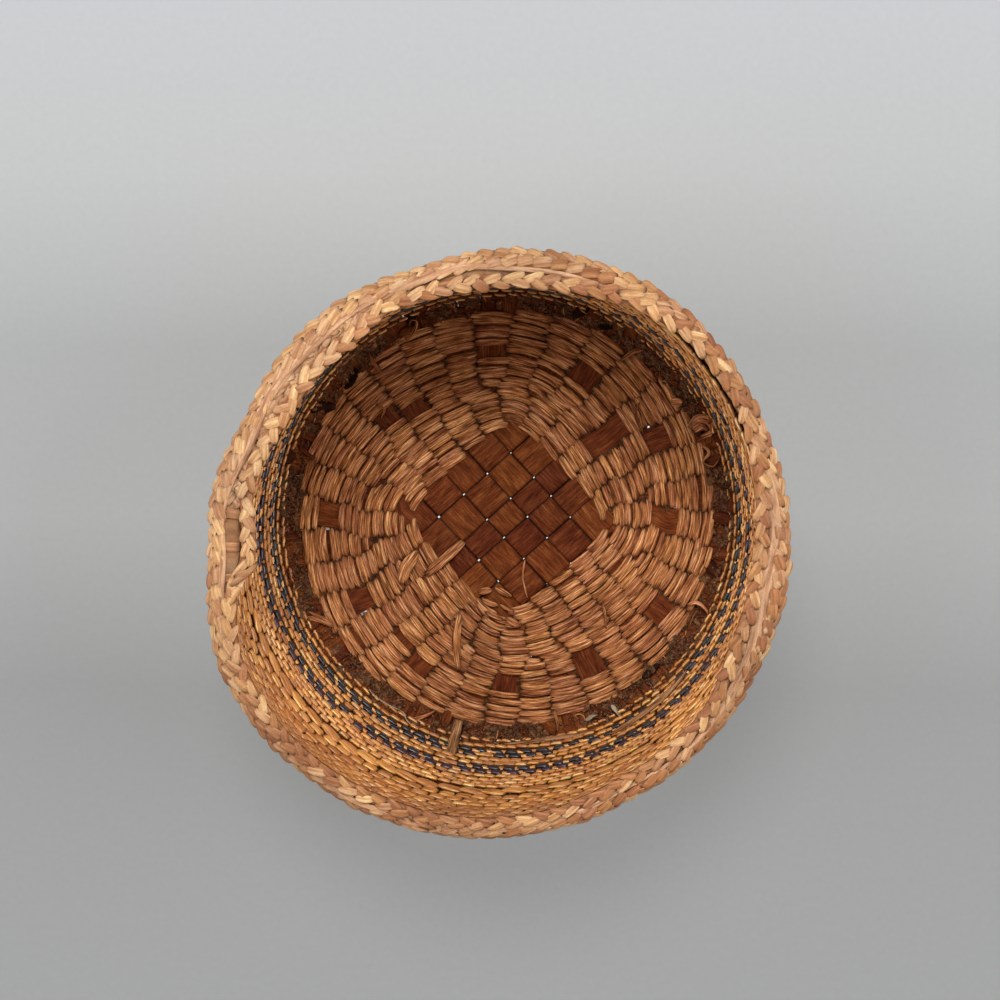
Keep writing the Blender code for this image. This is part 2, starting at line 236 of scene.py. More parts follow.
def looseStrip(points, width, thickness=0.25, seed=1, taper=0.5, twist=0, stations=15, ring=10, tone=None,
               dye=0.0):
    # one free fibre, chip or sliver through the points given; twist turns its face along the way
    path = curveThrough(points, stations)
    share = np.linspace(-1, 1, stations)
    turned = math.radians(twist) * (share + 1) / 2
    run = unit(np.gradient(path, axis=0))
    side = unit(np.cross((0.0, 0.0, 1.0), run) + 1e-6)
    face = np.cross(run, side)
    lift = face * np.cos(turned)[:, None] + side * np.sin(turned)[:, None]
    narrow = tapered(share, taper, 3)
    return loft(path, lift, width / 2 * narrow, thickness / 2, ring=ring, ridges=0.25, flat=0.6, seed=seed,
                dye=dye, tone=tone)


def gather(shapes):
    start = 0
    moved = []
    for shape in shapes:
        moved.append((shape["quads"] + start, shape["tris"] + start))
        start += len(shape["points"])
    return dict(
        points=np.concatenate([shape["points"] for shape in shapes]),
        grain=np.concatenate([shape["grain"] for shape in shapes]),
        look=np.concatenate([shape["look"] for shape in shapes]),
        quads=np.concatenate([quads for quads, tris in moved]),
        tris=np.concatenate([tris for quads, tris in moved]))


def placed(name, data):
    made = bpy.data.objects.new(name, data)
    bpy.context.scene.collection.objects.link(made)
    return made


def makePiece(name, shape, finishName, nodes=()):
    points = settle(shape["points"]) * mm
    quads = shape["quads"]
    tris = shape["tris"]
    mesh = bpy.data.meshes.new(name)
    mesh.vertices.add(len(points))
    mesh.vertices.foreach_set("co", points.astype(np.float32).ravel())
    corners = np.concatenate([quads.ravel(), tris.ravel()]).astype(np.int32)
    mesh.loops.add(len(corners))
    mesh.loops.foreach_set("vertex_index", corners)
    starts = np.concatenate([
        np.arange(len(quads)) * 4, len(quads) * 4 + np.arange(len(tris)) * 3]).astype(np.int32)
    mesh.polygons.add(len(starts))
    mesh.polygons.foreach_set("loop_start", starts)
    mesh.update(calc_edges=True)
    mesh.validate()
    for layer in ("grain", "look"):
        made = mesh.attributes.new(layer, "FLOAT_VECTOR", "POINT")
        made.data.foreach_set("vector", shape[layer].astype(np.float32).ravel())
    mesh.shade_smooth()
    mesh.materials.append(finish[finishName])
    piece = placed(name, mesh)
    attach(piece, "root")
    if nodes:
        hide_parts(*nodes)


# Materials. Every strand carries its own length and width coordinates, so the grain runs along it.

def addNode(tree, kind, inputs=None, **settings):
    node = tree.nodes.new(kind)
    for key, value in settings.items():
        setattr(node, key, value)
    for key, value in (inputs or {}).items():
        if isinstance(value, bpy.types.NodeSocket):
            tree.links.new(value, node.inputs[key])
        else:
            node.inputs[key].default_value = value
    return node


def colour(red, green, blue):
    # a colour as it is read off a screen, 0 to 255, turned into scene light
    screen = [value / 255 for value in (red, green, blue)]
    return (*[v / 12.92 if v < 0.04045 else ((v + 0.055) / 1.055) ** 2.4 for v in screen], 1.0)


def rampOf(tree, value, stops):
    ramp = addNode(tree, "ShaderNodeValToRGB", {"Fac": value})
    points = ramp.color_ramp.elements
    while len(points) < len(stops):
        points.new(0.5)
    for point, (place, shade) in zip(points, stops):
        point.position = place
        point.color = shade
    return ramp.outputs["Color"]


def mathOf(tree, operation, *values):
    return addNode(tree, "ShaderNodeMath", dict(enumerate(values)), operation=operation).outputs[0]


def rangeOf(tree, value, low, high, start=0.0, end=1.0):
    return addNode(tree, "ShaderNodeMapRange", {0: value, 1: low, 2: high, 3: start, 4: end}).outputs[0]


def newMaterial(name):
    material = bpy.data.materials.new(name)
    material.use_nodes = True
    return material, material.node_tree, material.node_tree.nodes["Principled BSDF"]


def fibreMaterial(name, look):
    material, tree, shader = newMaterial(name)
    grain = addNode(tree, "ShaderNodeAttribute", attribute_name="grain").outputs["Vector"]
    own = addNode(tree, "ShaderNodeAttribute", attribute_name="look").outputs["Vector"]
    own = addNode(tree, "ShaderNodeSeparateXYZ", {0: own}).outputs
    where = addNode(tree, "ShaderNodeTexCoord").outputs["Object"]

    def scaledGrain(along, across):
        return addNode(tree, "ShaderNodeVectorMath", {0: grain, 1: (along, across, 0.0)},
                       operation="MULTIPLY").outputs[0]

    def noise(vector, scale, detail):
        return addNode(tree, "ShaderNodeTexNoise", {
            "Vector": vector, "Scale": scale, "Detail": detail, "Roughness": 0.6}).outputs[0]

    def ranged(value, low, high, start, end):
        return rangeOf(tree, value, low, high, start, end)

    def times(first, second):
        return mathOf(tree, "MULTIPLY", first, second)

    # thin dark lines between fibres that lie side by side
    cells = addNode(tree, "ShaderNodeTexVoronoi", {
        "Vector": scaledGrain(look["lineAlong"], look["lineAcross"]), "Scale": 1.0},
        voronoi_dimensions="2D", feature="DISTANCE_TO_EDGE").outputs["Distance"]
    lines = ranged(cells, 0.0, look["lineWidth"], look["lineShade"], 1.0)
    fine = noise(scaledGrain(look["fineAlong"], look["fineAcross"]), 1.0, 3.0)
    broad = noise(scaledGrain(look["broadAlong"], look["broadAcross"]), 1.0, 2.0)
    mixed = mathOf(tree, "MULTIPLY_ADD", broad, 1 - look["fineShare"], times(fine, look["fineShare"]))
    tinted = rampOf(tree, mixed, [
        (look["ramp"][0], colour(*look["dark"])), (look["ramp"][1], colour(*look["middle"])),
        (look["ramp"][2], colour(*look["light"]))])
    rise = addNode(tree, "ShaderNodeSeparateXYZ", {0: grain}).outputs["Z"]
    paintedShadeFrom, paintedShadeTop = look["paintedCreviceRange"]
    dyeAndPaintedShade = own["Z"]
    if look["bothFaces"]:
        # the painted shade on the sides is the same below a flat strip as above it; its dye, which on the
        # plait is painted shade where it dips under another strip, shows only above
        dyeAndPaintedShade = times(dyeAndPaintedShade, ranged(rise, paintedShadeFrom, -paintedShadeFrom, 0.0, 1.0))
        rise = mathOf(tree, "ABSOLUTE", rise)
    if "dyed" in look:
        darkAt, lightAt = look["dyedRamp"]
        dyed = rampOf(tree, mixed, [
            (darkAt, colour(*look["dyedDark"])), (lightAt, colour(*look["dyed"]))])
        tinted = addNode(tree, "ShaderNodeMix", {0: dyeAndPaintedShade, 6: tinted, 7: dyed},
                         data_type="RGBA").outputs[2]
    # shade: each strand's own tone, painted shade at its ends and low down on its sides, stains and specks
    value = times(ranged(own["X"], 0.0, 1.0, *look["toneRange"]), lines)
    ends = mathOf(tree, "POWER", own["Y"], look["paintedEndPower"])
    value = times(value, ranged(ends, 0.0, 1.0, 1.0, look["paintedEndShade"]))
    value = times(value, ranged(rise, paintedShadeFrom, paintedShadeTop, look["paintedCreviceShade"], 1.0))
    stains = noise(where, look["stainScale"], 3.0)
    specks = noise(where, look["speckScale"], 2.0)
    value = times(value, ranged(stains, 0.35, 0.65, look["stainShade"], look["stainLight"]))
    value = times(value, ranged(specks, 0.3, 0.7, look["speckShade"], look["speckLight"]))
    # the hue wanders a little from strand to strand
    hue = ranged(own["X"], 0.0, 1.0, 0.5 - look["hueDrift"], 0.5 + look["hueDrift"])
    # painted shade: low on the sides the colour is also more saturated
    paintedShadeSaturation = ranged(rise, paintedShadeFrom, paintedShadeTop, look["paintedCreviceColour"], 1.0)
    final = addNode(tree, "ShaderNodeHueSaturation", {
        "Hue": hue, "Saturation": paintedShadeSaturation, "Value": value, "Color": tinted})
    tree.links.new(final.outputs[0], shader.inputs["Base Color"])
    tree.links.new(ranged(mixed, *look["roughRange"], *look["rough"]), shader.inputs["Roughness"])
    shader.inputs["Specular IOR Level"].default_value = look["shine"]
    bump = addNode(tree, "ShaderNodeBump", {
        "Height": times(mixed, lines), "Strength": look["bump"], "Distance": look["bumpDepth"] * mm})
    tree.links.new(bump.outputs[0], shader.inputs["Normal"])
    return material


# Along and across are how many grain marks there are in a millimetre. A shade is how much of the colour is
# left: between the fibres, in stains and in specks; at a strand's ends and low on its sides (the crevices)
# it is painted shade.
plainFibre = dict(
    fineAlong=0.30, fineAcross=4.6, broadAlong=0.14, broadAcross=1.5, fineShare=0.55,
    lineAlong=0.13, lineAcross=2.9, lineWidth=0.13, lineShade=0.42,
    ramp=(0.40, 0.51, 0.61), dyedRamp=(0.36, 0.62), stainScale=60, stainShade=0.86, stainLight=1.06,
    speckScale=2600, speckShade=0.82, speckLight=1.1, toneRange=(0.82, 1.18), paintedEndPower=5.0, paintedEndShade=0.5,
    paintedCreviceRange=(-0.1, 0.7), paintedCreviceShade=0.2, paintedCreviceColour=1.08, hueDrift=0.006, rough=(0.88, 0.62),
    roughRange=(0.4, 0.62), shine=0.25, bump=0.9, bumpDepth=0.2, bothFaces=False)
# On the plait, dyed and dyedDark are painted shade where a strip dips under another; on the bark tabs they
# are the tabs' own dark colour.
barkLook = dict(
    plainFibre, dark=(70, 28, 9), middle=(114, 54, 22), light=(152, 88, 44), fineAcross=4.5,
    broadAcross=0.9, broadAlong=0.25, ramp=(0.34, 0.5, 0.68), toneRange=(0.70, 1.20), bothFaces=True,
    lineAcross=1.7, lineAlong=0.16, lineWidth=0.09, lineShade=0.74, paintedEndPower=1.0, paintedEndShade=1.0,
    paintedCreviceRange=(-0.1, 0.95), paintedCreviceShade=0.05, speckScale=4200, speckShade=0.66,
    rough=(0.85, 0.62), shine=0.12, bump=0.6, bumpDepth=0.12, dyed=(30, 11, 5), dyedDark=(16, 6, 3))
twinedLook = dict(
    plainFibre, dark=(108, 56, 26), middle=(196, 126, 74), light=(248, 186, 132))
goldLook = dict(
    plainFibre, dark=(170, 98, 38), middle=(232, 160, 88), light=(254, 212, 148), fineAcross=2.6,
    lineAcross=1.5, lineAlong=0.12, lineWidth=0.08, lineShade=0.68,
    rough=(0.45, 0.28), shine=0.8, bump=0.3, bumpDepth=0.1, paintedEndShade=0.34, paintedEndPower=8.0,
    toneRange=(0.82, 1.2), speckShade=0.92, paintedCreviceShade=0.3, paintedCreviceRange=(-0.1, 0.5), paintedCreviceColour=1.3,
    dyed=(54, 54, 62), dyedDark=(20, 19, 24))
violetLook = dict(goldLook, dyed=(78, 52, 68), dyedDark=(32, 20, 28))
agedLook = dict(goldLook, dyed=(190, 114, 46), dyedDark=(146, 80, 28))
paleLook = dict(
    agedLook, dark=(166, 102, 52), middle=(218, 156, 96), light=(244, 202, 150), rough=(0.6, 0.42))
# The end shade of a leaf is painted shade at its first, tucked end, where it dips under the next leaf.
strawLook = dict(
    plainFibre, dark=(194, 138, 90), middle=(222, 171, 119), light=(240, 201, 151), fineAcross=2.4,
    fineShare=0.3, lineAcross=1.3, lineAlong=0.2, lineWidth=0.05, lineShade=0.94,
    rough=(0.7, 0.5), shine=0.35, bump=0.18, bumpDepth=0.1, paintedEndShade=0.1, paintedEndPower=3.4,
    toneRange=(0.78, 1.0), stainShade=0.82, speckShade=0.88, paintedCreviceRange=(-0.1, 0.44),
    paintedCreviceColour=1.25, dyed=(188, 126, 78), dyedDark=(140, 84, 46))
wornLook = dict(
    strawLook, dark=(174, 126, 88), middle=(214, 166, 122), light=(234, 192, 148), toneRange=(0.84, 1.06),
    dyed=(198, 140, 96), dyedDark=(158, 104, 68))
hoopLook = dict(
    plainFibre, dark=(178, 124, 86), middle=(216, 164, 122), light=(234, 190, 148), fineAcross=2.0,
    lineShade=0.85, paintedEndShade=1.0, stainScale=120, stainShade=0.82, paintedCreviceShade=0.6,
    paintedCreviceRange=(-0.1, 0.3))
dustLook = dict(
    plainFibre, dark=(68, 35, 18), middle=(122, 74, 44), light=(166, 116, 74), fineAcross=2.5,
    fineAlong=2.5, broadAlong=1.0, broadAcross=1.0, lineShade=0.9, paintedEndShade=0.9, stainScale=160,
    stainShade=0.6, speckScale=1800, speckShade=0.5, paintedCreviceShade=0.8, bump=1.0, bumpDepth=0.4,
    dyed=(134, 100, 64), dyedDark=(78, 50, 28))
tanLook = dict(
    plainFibre, dark=(112, 72, 42), middle=(172, 122, 78), light=(206, 160, 114), paintedEndShade=0.9,
    dyed=(214, 200, 176), dyedDark=(170, 154, 128))

finish = {name: fibreMaterial(name, look) for name, look in dict(
    plaitedBark=barkLook, twinedBark=twinedLook, goldGrass=goldLook, violetGrass=violetLook,
    agedGrass=agedLook, paleGrass=paleLook, rimStraw=strawLook, wornStraw=wornLook, hoopWood=hoopLook,
    cornerDust=dustLook, looseFibre=tanLook).items()}
print("stage: materials", len(finish))


# The base. Rounds of twined bark follow the plaited square at first and end as circles.
base = dict(
    rounds=18, outerRadius=36.2, innerRadius=13.2, squareness=4.6, turn=42.3, twist=-4.5,
    cornerColumns=(3, 4, 4, 4), middleHeight=0.8, unevenGap=0.45, holeRadius=1.0)
# One twined stitch. The pairs are the ranges that a stitch's reach, slope, height and width vary in.
stitch = dict(
    face=1, stations=11, ring=12, ridges=0.16, grooves=0.35, slope=0.30, overlap=0.03, tuckedIn=0.0,
    sideways=0.07, crown=0.44, depth=0.40, fill=1.04, narrowing=0.45, wobble=0.10, flat=0.6,
    reachRange=(-0.05, 0.07), slopeRange=(0.7, 1.2), crownRange=(0.9, 1.1), swellRange=(0.84, 1.16),
    liftRange=(-0.08, 0.048), shortest=1.5)
underStitch = dict(stitch, face=-1, stations=5, ring=8, tuckedIn=0.15, narrowing=0.15)
# small holes where the floor shows between the stitches
pinholes = [
    (-4.5, 34.5), (-4.5, 35.8), (1.5, 36.2), (8.3, 34.8), (-3.8, 28.8), (-30.9, -1.7), (-26.3, 27.2),
    (24.0, 17.2), (-24.6, -16.6), (-14.7, -26.5)]


def roundRadius(step, angles):
    # step runs from 0 at the plait to the number of rounds at the last one
    turned = angles - math.radians(base["turn"])
    power = base["squareness"]
    corner = (np.abs(np.cos(turned)) ** power + np.abs(np.sin(turned)) ** power) ** (-1 / power)
    inner = base["innerRadius"] * corner
    return inner + (base["outerRadius"] - inner) * step / base["rounds"]


def columnShares(quarter, step):
    # the columns from one side's middle strip to the next side's, with the corner's own ones between
    count = base["cornerColumns"][quarter]
    starts = {3: (5.5, 0.5, 6.5), 4: (7.0, 0.5, 1.5, 8.0)}[count]
    corner = [smooth(step, start - 1.5, start + 2.5) for start in starts]
    return [0.5, 1.0, 1.0, *corner, 1.0, 1.0, 0.5]


def columnEdges(step):
    # the angles of the gaps between the columns at this round, starting in the middle of a side
    angles = np.linspace(0, fullTurn, 2881) + math.radians(base["turn"])
    ring = aroundAt(angles, roundRadius(step, angles), 0.0)
    length = np.concatenate([[0], np.cumsum(np.linalg.norm(np.diff(ring, axis=0), axis=1))])
    edges = []
    for quarter in range(4):
        low, high = length[quarter * 720], length[(quarter + 1) * 720]
        shares = np.cumsum(columnShares(quarter, step))
        edges.extend(low + (high - low) * shares[:-1] / shares[-1])
    found = np.interp(edges, length, angles)
    # the weaver's hand: no gap runs quite straight
    number = np.arange(len(found))
    uneven = math.radians(base["unevenGap"]) * np.sin(step * 0.8 + number * 2.4)
    found = found + uneven * smooth(step, 0.0, 3.0)
    found = np.append(found, found[0] + fullTurn)
    return found + math.radians(base["twist"]) * step / base["rounds"]


steps = np.arange(base["rounds"]) + 0.5
edgeTable = np.array([columnEdges(step) for step in steps])
columnCount = edgeTable.shape[1] - 1

# Places where the weaver left the bark strips bare: angle, then the inner and outer radius.
windows = [
    (90.4, 28.0, 30.2), (59.7, 26.6, 30.4), (29.5, 27.2, 31.2), (2.7, 24.8, 29.8), (-1.7, 15.4, 18.0),
    (135.2, 23.4, 29.2), (177.6, 14.0, 19.8), (177.5, 30.0, 32.6), (-152.2, 26.8, 31.2),
    (-125.2, 26.9, 31.6), (-94.5, 26.9, 30.4), (-62.0, 26.0, 31.2), (-35.6, 29.0, 32.2),
    (38.3, 18.0, 26.6)]


def inWindow(middleAngles, radii, edgesLow, edgesHigh):
    hidden = np.zeros(len(middleAngles), bool)
    for angle, low, high in windows:
        target = math.radians(angle)
        around = (target - edgesLow) % fullTurn < (edgesHigh - edgesLow)
        hidden |= around & (radii > low) & (radii < high)
    return hidden


def nearPinhole(angles, radii):
    near = np.zeros(len(angles), bool)
    for x, y in pinholes:
        near |= np.hypot(radii * np.cos(angles) - x, radii * np.sin(angles) - y) < base["holeRadius"]
    return near


def baseStitches(number, under):
    # one round's stitches on the upper face, or on the underside
    make = underStitch if under else stitch
    chance = np.random.default_rng(100 + number + 50 * under)
    step = steps[number]
    edges = edgeTable[number]
    low, high = edges[:-1], edges[1:]
    middle = (low + high) / 2
    radii = roundRadius(step, middle)
    spans = (high - low) * radii
    keep = spans > make["shortest"]
    if under:
        keep &= ~nearPinhole(low, roundRadius(step, low)) & ~nearPinhole(high, roundRadius(step, high))
    else:
        keep &= ~inWindow(middle, radii, low, high)
    low, high, middle, radii, spans = (values[keep] for values in (low, high, middle, radii, spans))
    count = len(middle)
    share = np.linspace(-1, 1, make["stations"])[None]
    reach = 1 + make["overlap"] + chance.uniform(*make["reachRange"], (count, 1)) + make["tuckedIn"]
    sideways = chance.normal(0, make["sideways"], (count, 1))
    angles = middle[:, None] + (high - low)[:, None] / 2 * (reach * share + sideways)
    slope = make["face"] * make["slope"] * chance.uniform(*make["slopeRange"], (count, 1))
    bend = chance.normal(0, make["wobble"], (count, 1)) * (1 - share ** 2)
    drift = chance.normal(0, make["wobble"], (count, 1))
    level = step + slope * share + bend + drift
    pitch = roundRadius(step + 0.5, middle) - roundRadius(step - 0.5, middle)
    swell = chance.uniform(*make["swellRange"], (count, 1))
    width = 0.5 * make["fill"] * pitch[:, None] * swell * tapered(share, make["narrowing"], 5)
    depth = make["depth"] * tapered(share, 0.5, 4) * np.ones((count, 1))
    rise = make["crown"] * tapered(share, 0.9, 3.2) * chance.uniform(*make["crownRange"], (count, 1))
    rise = rise + chance.uniform(*make["liftRange"], (count, 1))
    path = aroundAt(angles, roundRadius(level, angles), base["middleHeight"] + make["face"] * rise)
    return loft(path, (0, 0, make["face"]), width, depth, ring=make["ring"], ridges=make["ridges"],
                grooves=make["grooves"], flat=make["flat"], seed=200 + number + 50 * under)


def addBaseRounds():
    # the solid model's five pairs of strings each stand for a few rounds
    lastOfPair = (2, 5, 9, 13, 18)
    for number in range(base["rounds"]):
        pair = 1 + sum(number >= last for last in lastOfPair)
        nodes = [f"base_round_{pair}_a", f"base_round_{pair}_b"]
        shape = gather([baseStitches(number, False), baseStitches(number, True)])
        makePiece(f"baseRound{number + 1:02d}", shape, "twinedBark", nodes)
    print("stage: base rounds", base["rounds"])


# The plait: gaps between the strips of each family, measured across the strips.
plait = dict(
    turnA=-47.3, gapsA=(-14.4, -8.6, -2.7, 2.8, 8.2, 14.0), turnB=42.2,
    gapsB=(-12.9, -6.9, -1.9, 2.4, 8.3, 13.6), gap=0.17, weave=0.2, thickness=0.34, pinch=0.07,
    # crease is the range of the weave, from under to on top, over which a strip's painted shade fades out
    paintedCreaseShade=(0.0, 1.0), turnOver=0.5, reachOut=13.8, step=0.23, pinchSpread=0.4)
warp = dict(
    thickness=0.30, spokeShare=0.92, widest=6.2, narrowest=0.9, split=4, fineThickness=0.3,
    footThickness=0.24, footHeights=(1.8, 3.4), upStations=15,
    # the bark beyond the last round: radius, height and width of each quarter of a column
    foot=((34.4, 0.80, 2.0), (36.2, 0.90, 2.3), (37.6, 1.15, 2.4), (38.8, 1.65, 2.35),
          (39.9, 2.6, 2.0)), wallWidth=1.4)


def columnLine(column, fraction=0.5):
    # the line of points down one column, from the plait to the last round
    angles = edgeTable[:, column] + (edgeTable[:, column + 1] - edgeTable[:, column]) * fraction
    return angles, roundRadius(steps, angles)


def fineWarps(column, seed):
    # each column's bark is split in four before it turns up the wall
    chance = np.random.default_rng(seed)
    each = (warp["split"], 1)
    angle = columnLine(column, (np.arange(warp["split"])[:, None] + 0.5) / warp["split"])[0][:, -1]
    heights = np.linspace(wall["footHeight"], wall["topHeight"], warp["upStations"])
    foot = np.array(warp["foot"])
    radii = np.concatenate([foot[:, 0], wallRadius(heights)])
    levels = np.concatenate([foot[:, 1], heights])
    widths = np.concatenate([foot[:, 2], np.full(len(heights), warp["wallWidth"])])
    lean = chance.normal(0, 0.004, each) + chance.normal(0, 0.003, each) * np.linspace(0, 1, len(levels))
    nearFoot = 1 - smooth(levels, *warp["footHeights"])
    levels = levels + chance.uniform(-0.15, 0.2, each) * nearFoot
    widths = widths * chance.uniform(0.85, 1.1, each)
    thick = warp["fineThickness"] + (warp["footThickness"] - warp["fineThickness"]) * nearFoot
    paths = aroundAt(angle[:, None] + lean, radii, levels)
    outwards = unit(paths * (1, 1, 0))
    run = unit(np.gradient(paths, axis=1))
    flat = np.abs(run[..., 2:3]) < 0.6
    lift = np.where(flat, np.array([0.0, 0.0, 1.0]) - outwards * run[..., 2:3], -outwards)
    return loft(paths, unit(lift), widths / 2, thick / 2, ring=8, ridges=0.2, flat=0.55, seed=seed)


def spoke(points, widths, seed, level=None, dye=0.0, tone=None):
    path = np.concatenate([points, np.full((len(points), 1), base["middleHeight"])], axis=1)
    if level is not None:
        path[:, 2] = level
    return loft(path, (0, 0, 1), widths / 2, warp["thickness"] / 2, ring=16, flat=0.4, seed=seed,
                dye=np.atleast_2d(dye), tone=tone)


def columnPoints(column):
    angles, radii = columnLine(column)
    widths = (edgeTable[:, column + 1] - edgeTable[:, column]) * radii * warp["spokeShare"]
    return aroundAt(angles, radii, 0.0)[:, :2], np.minimum(widths, warp["widest"])


# Which columns the ends of each strip run on into: strips of family b leave by sides 0 and 2.
sideStart = np.cumsum([0] + [5 + count for count in base["cornerColumns"]])[:4]


def stripColumn(side, place):
    # place runs from -2 to 2 across the side, turning the same way as the columns are numbered
    return int((sideStart[side] + place) - 1) % columnCount


def plaitedStrip(family, number):
    turn = math.radians(plait["turnA" if family == "a" else "turnB"])
    gaps = plait["gapsA" if family == "a" else "gapsB"]
    others = plait["gapsB" if family == "a" else "gapsA"]
    middle = (gaps[number] + gaps[number + 1]) / 2
    width = gaps[number + 1] - gaps[number] - plait["gap"]
    forward = np.array([math.cos(turn), math.sin(turn)])
    leftward = np.array([-math.sin(turn), math.cos(turn)])
    run = np.arange(-plait["reachOut"], plait["reachOut"] + 0.01, plait["step"])
    # family a looks along +leftward for its gaps, family b's gaps lie the other way along it
    crossing = -np.array(others[::-1]) if family == "a" else np.array(others)
    over = np.zeros(len(run))
    pinch = np.zeros(len(run))
    for square in range(5):
        ease = plait["turnOver"]
        inside = smooth(run, crossing[square] - ease, crossing[square] + ease)
        inside = inside * (1 - smooth(run, crossing[square + 1] - ease, crossing[square + 1] + ease))
        otherNumber = 4 - square if family == "a" else square
        onTop = (number + otherNumber) % 2 == (0 if family == "a" else 1)
        over += inside * (1 if onTop else -1)
    chance = np.random.default_rng(60 + number + (5 if family == "b" else 0))
    # each square that shows has a tone of its own, at random
    tone = chance.uniform(0, 1, 5)[np.clip(np.searchsorted(crossing, run) - 1, 0, 4)]
    for place in crossing[1:-1]:
        pinch += chance.uniform(-0.6, 1.6) * np.exp(-((run - place) / plait["pinchSpread"]) ** 2)
    points = middle * leftward + run[:, None] * forward
    level = base["middleHeight"] + plait["weave"] * over
    widths = width - 2 * plait["pinch"] * pinch
    # painted shade: the strip is darker where it dips under a strip of the other family
    paintedCreaseShade = 1 - smooth(over, *plait["paintedCreaseShade"])
    return points, level, widths, paintedCreaseShade * (np.abs(run) < crossing[-1] + 0.2), tone


def addPlaitedStrips():
    for family in "ab":
        for number in range(5):
            points, level, widths, paintedCreaseShade, tone = plaitedStrip(family, number)
            # strips of family a leave by sides 1 and 3, and family b by sides 0 and 2
            front, back = (3, 1) if family == "a" else (0, 2)
            place = number - 2
            columns = [stripColumn(back, -place), stripColumn(front, place)]
            starts, ends = (columnPoints(column) for column in columns)
            first = slice(1, None)
            path = np.concatenate([starts[0][first][::-1], points, ends[0][first]])
            width = np.concatenate([starts[1][first][::-1], widths, ends[1][first]])
            flatLevel = np.full(base["rounds"] - 1, base["middleHeight"])
            height = np.concatenate([flatLevel, level, flatLevel])
            # the painted shade of the dips, carried as the strip's dye
            dark = np.concatenate([0 * flatLevel, paintedCreaseShade, 0 * flatLevel])
            tone = np.concatenate([0 * flatLevel + 0.4, tone, 0 * flatLevel + 0.4])
            seed = 300 + number + (10 if family == "b" else 0)
            shapes = [spoke(path, width, seed, height, dark, tone[None])]
            shapes += [fineWarps(column, seed + 20 + 7 * side) for side, column in enumerate(columns)]
            makePiece(f"plaitedStrip{family.upper()}{number + 1}", gather(shapes), "plaitedBark",
                      [f"plaited_strip_{family}_{number + 1}"])
    print("stage: plaited strips 10")


def addCornerWarps():
    made = 0
    for quarter, count in enumerate(base["cornerColumns"]):
        for place in range(count):
            column = int(sideStart[quarter] + 2 + place) % columnCount
            points, widths = columnPoints(column)
            shown = widths > warp["narrowest"]
            shapes = [spoke(points[shown], widths[shown], 400 + made), fineWarps(column, 430 + made)]
            node = f"corner_warp_{quarter * 2 + min(1, place * 2 // count) + 1}"
            made += 1
            makePiece(f"cornerWarp{made:02d}", gather(shapes), "plaitedBark", [node])
    print("stage: corner warps", made)


# The wall. Each row: name, height of its middle, height of a stitch, warps that a stitch spans,
# finish, whether it is dyed, and the solid that it stands for.
wallRows = [
    ("wallFootRow1", 1.8, 1.4, 1.12, "agedGrass", 0, "wall_row_foot"),
    ("wallFootRow2", 3.2, 1.3, 1.12, "agedGrass", 0, "wall_row_foot"),
    ("wallBandRow1", 4.6, 1.5, 1.55, "goldGrass", 1, "wall_band_lower"),
    ("wallBandRow2", 6.2, 1.6, 1.55, "goldGrass", 1, "wall_band_lower"),
    ("wallMiddleRow1", 8.0, 1.8, 1.12, "agedGrass", 0, "wall_row_between_bands"),
    ("wallMiddleRow2", 9.7, 1.7, 1.12, "agedGrass", 0, "wall_row_between_bands"),
    ("wallBandRow3", 11.5, 1.9, 1.55, "goldGrass", 1, "wall_band_upper"),
    ("wallBandRow4", 13.4, 1.9, 1.55, "violetGrass", 1, "wall_band_upper"),
    ("wallBellyRow1", 15.2, 1.6, 1.12, "agedGrass", 0, "wall_row_belly_lower"),
    ("wallBellyRow2", 16.8, 1.5, 1.12, "agedGrass", 0, "wall_row_belly_lower"),
    ("wallBellyRow3", 18.3, 1.5, 1.12, "agedGrass", 0, "wall_row_belly_lower"),
    ("wallBellyRow4", 19.8, 1.5, 1.12, "agedGrass", 0, "wall_row_belly_lower"),
    ("wallThickRow", 22.4, 3.8, 2, "agedGrass", 0, "wall_row_belly_upper"),
    ("wallShoulderRow1", 25.6, 2.5, 1.45, "agedGrass", 0, "wall_row_belly_upper"),
    ("wallShoulderRow2", 27.9, 2.2, 1.45, "agedGrass", 0, "wall_row_belly_upper"),
    ("wallShoulderRow3", 30.0, 2.0, 1.45, "agedGrass", 0, "wall_row_shoulder"),
    ("wallShoulderRow4", 31.9, 1.9, 1.25, "agedGrass", 0, "wall_row_shoulder"),
    ("wallShoulderRow5", 33.7, 1.8, 1.25, "paleGrass", 0, "wall_row_shoulder"),
    ("wallShoulderRow6", 35.3, 1.6, 1.25, "paleGrass", 0, "wall_row_shoulder"),
    ("wallShoulderRow7", 36.8, 1.5, 1.25, "paleGrass", 0, "wall_row_shoulder"),
    ("wallShoulderRow8", 38.2, 1.5, 1.25, "paleGrass", 0, "wall_row_shoulder"),
    ("wallShoulderRow9", 39.5, 1.7, 1.25, "paleGrass", 0, "wall_row_shoulder")]
wallStitch = dict(
    stations=6, ring=8, outsideStations=4, outsideRing=6, overlap=-0.04, dyedOverlap=-0.27, inset=0.28,
    crown=0.16, depth=0.30, fill=1.03, dyedFill=1.16, narrowing=0.16, paintedEndPower=7, slope=0.10, wobble=0.05,
    wander=0.14, strayShare=0.09, coreWidth=0.75, coreSunk=0.14, flat=0.5, sideways=0.06, brickShift=0.5,
    dyedShift=0.3, reachRange=(-0.11, 0.09), swellRange=(0.86, 1.1), outRange=(-0.05, 0.05),
    browned=((232, 42, 0.62), (285, 30, 0.2)), brownedHeights=(20, 30))
ropeStitch = dict(wallStitch, stations=9, overlap=0.16, narrowing=0.5, paintedEndPower=3, slope=0.2, flat=0.6,
                  fill=0.98)

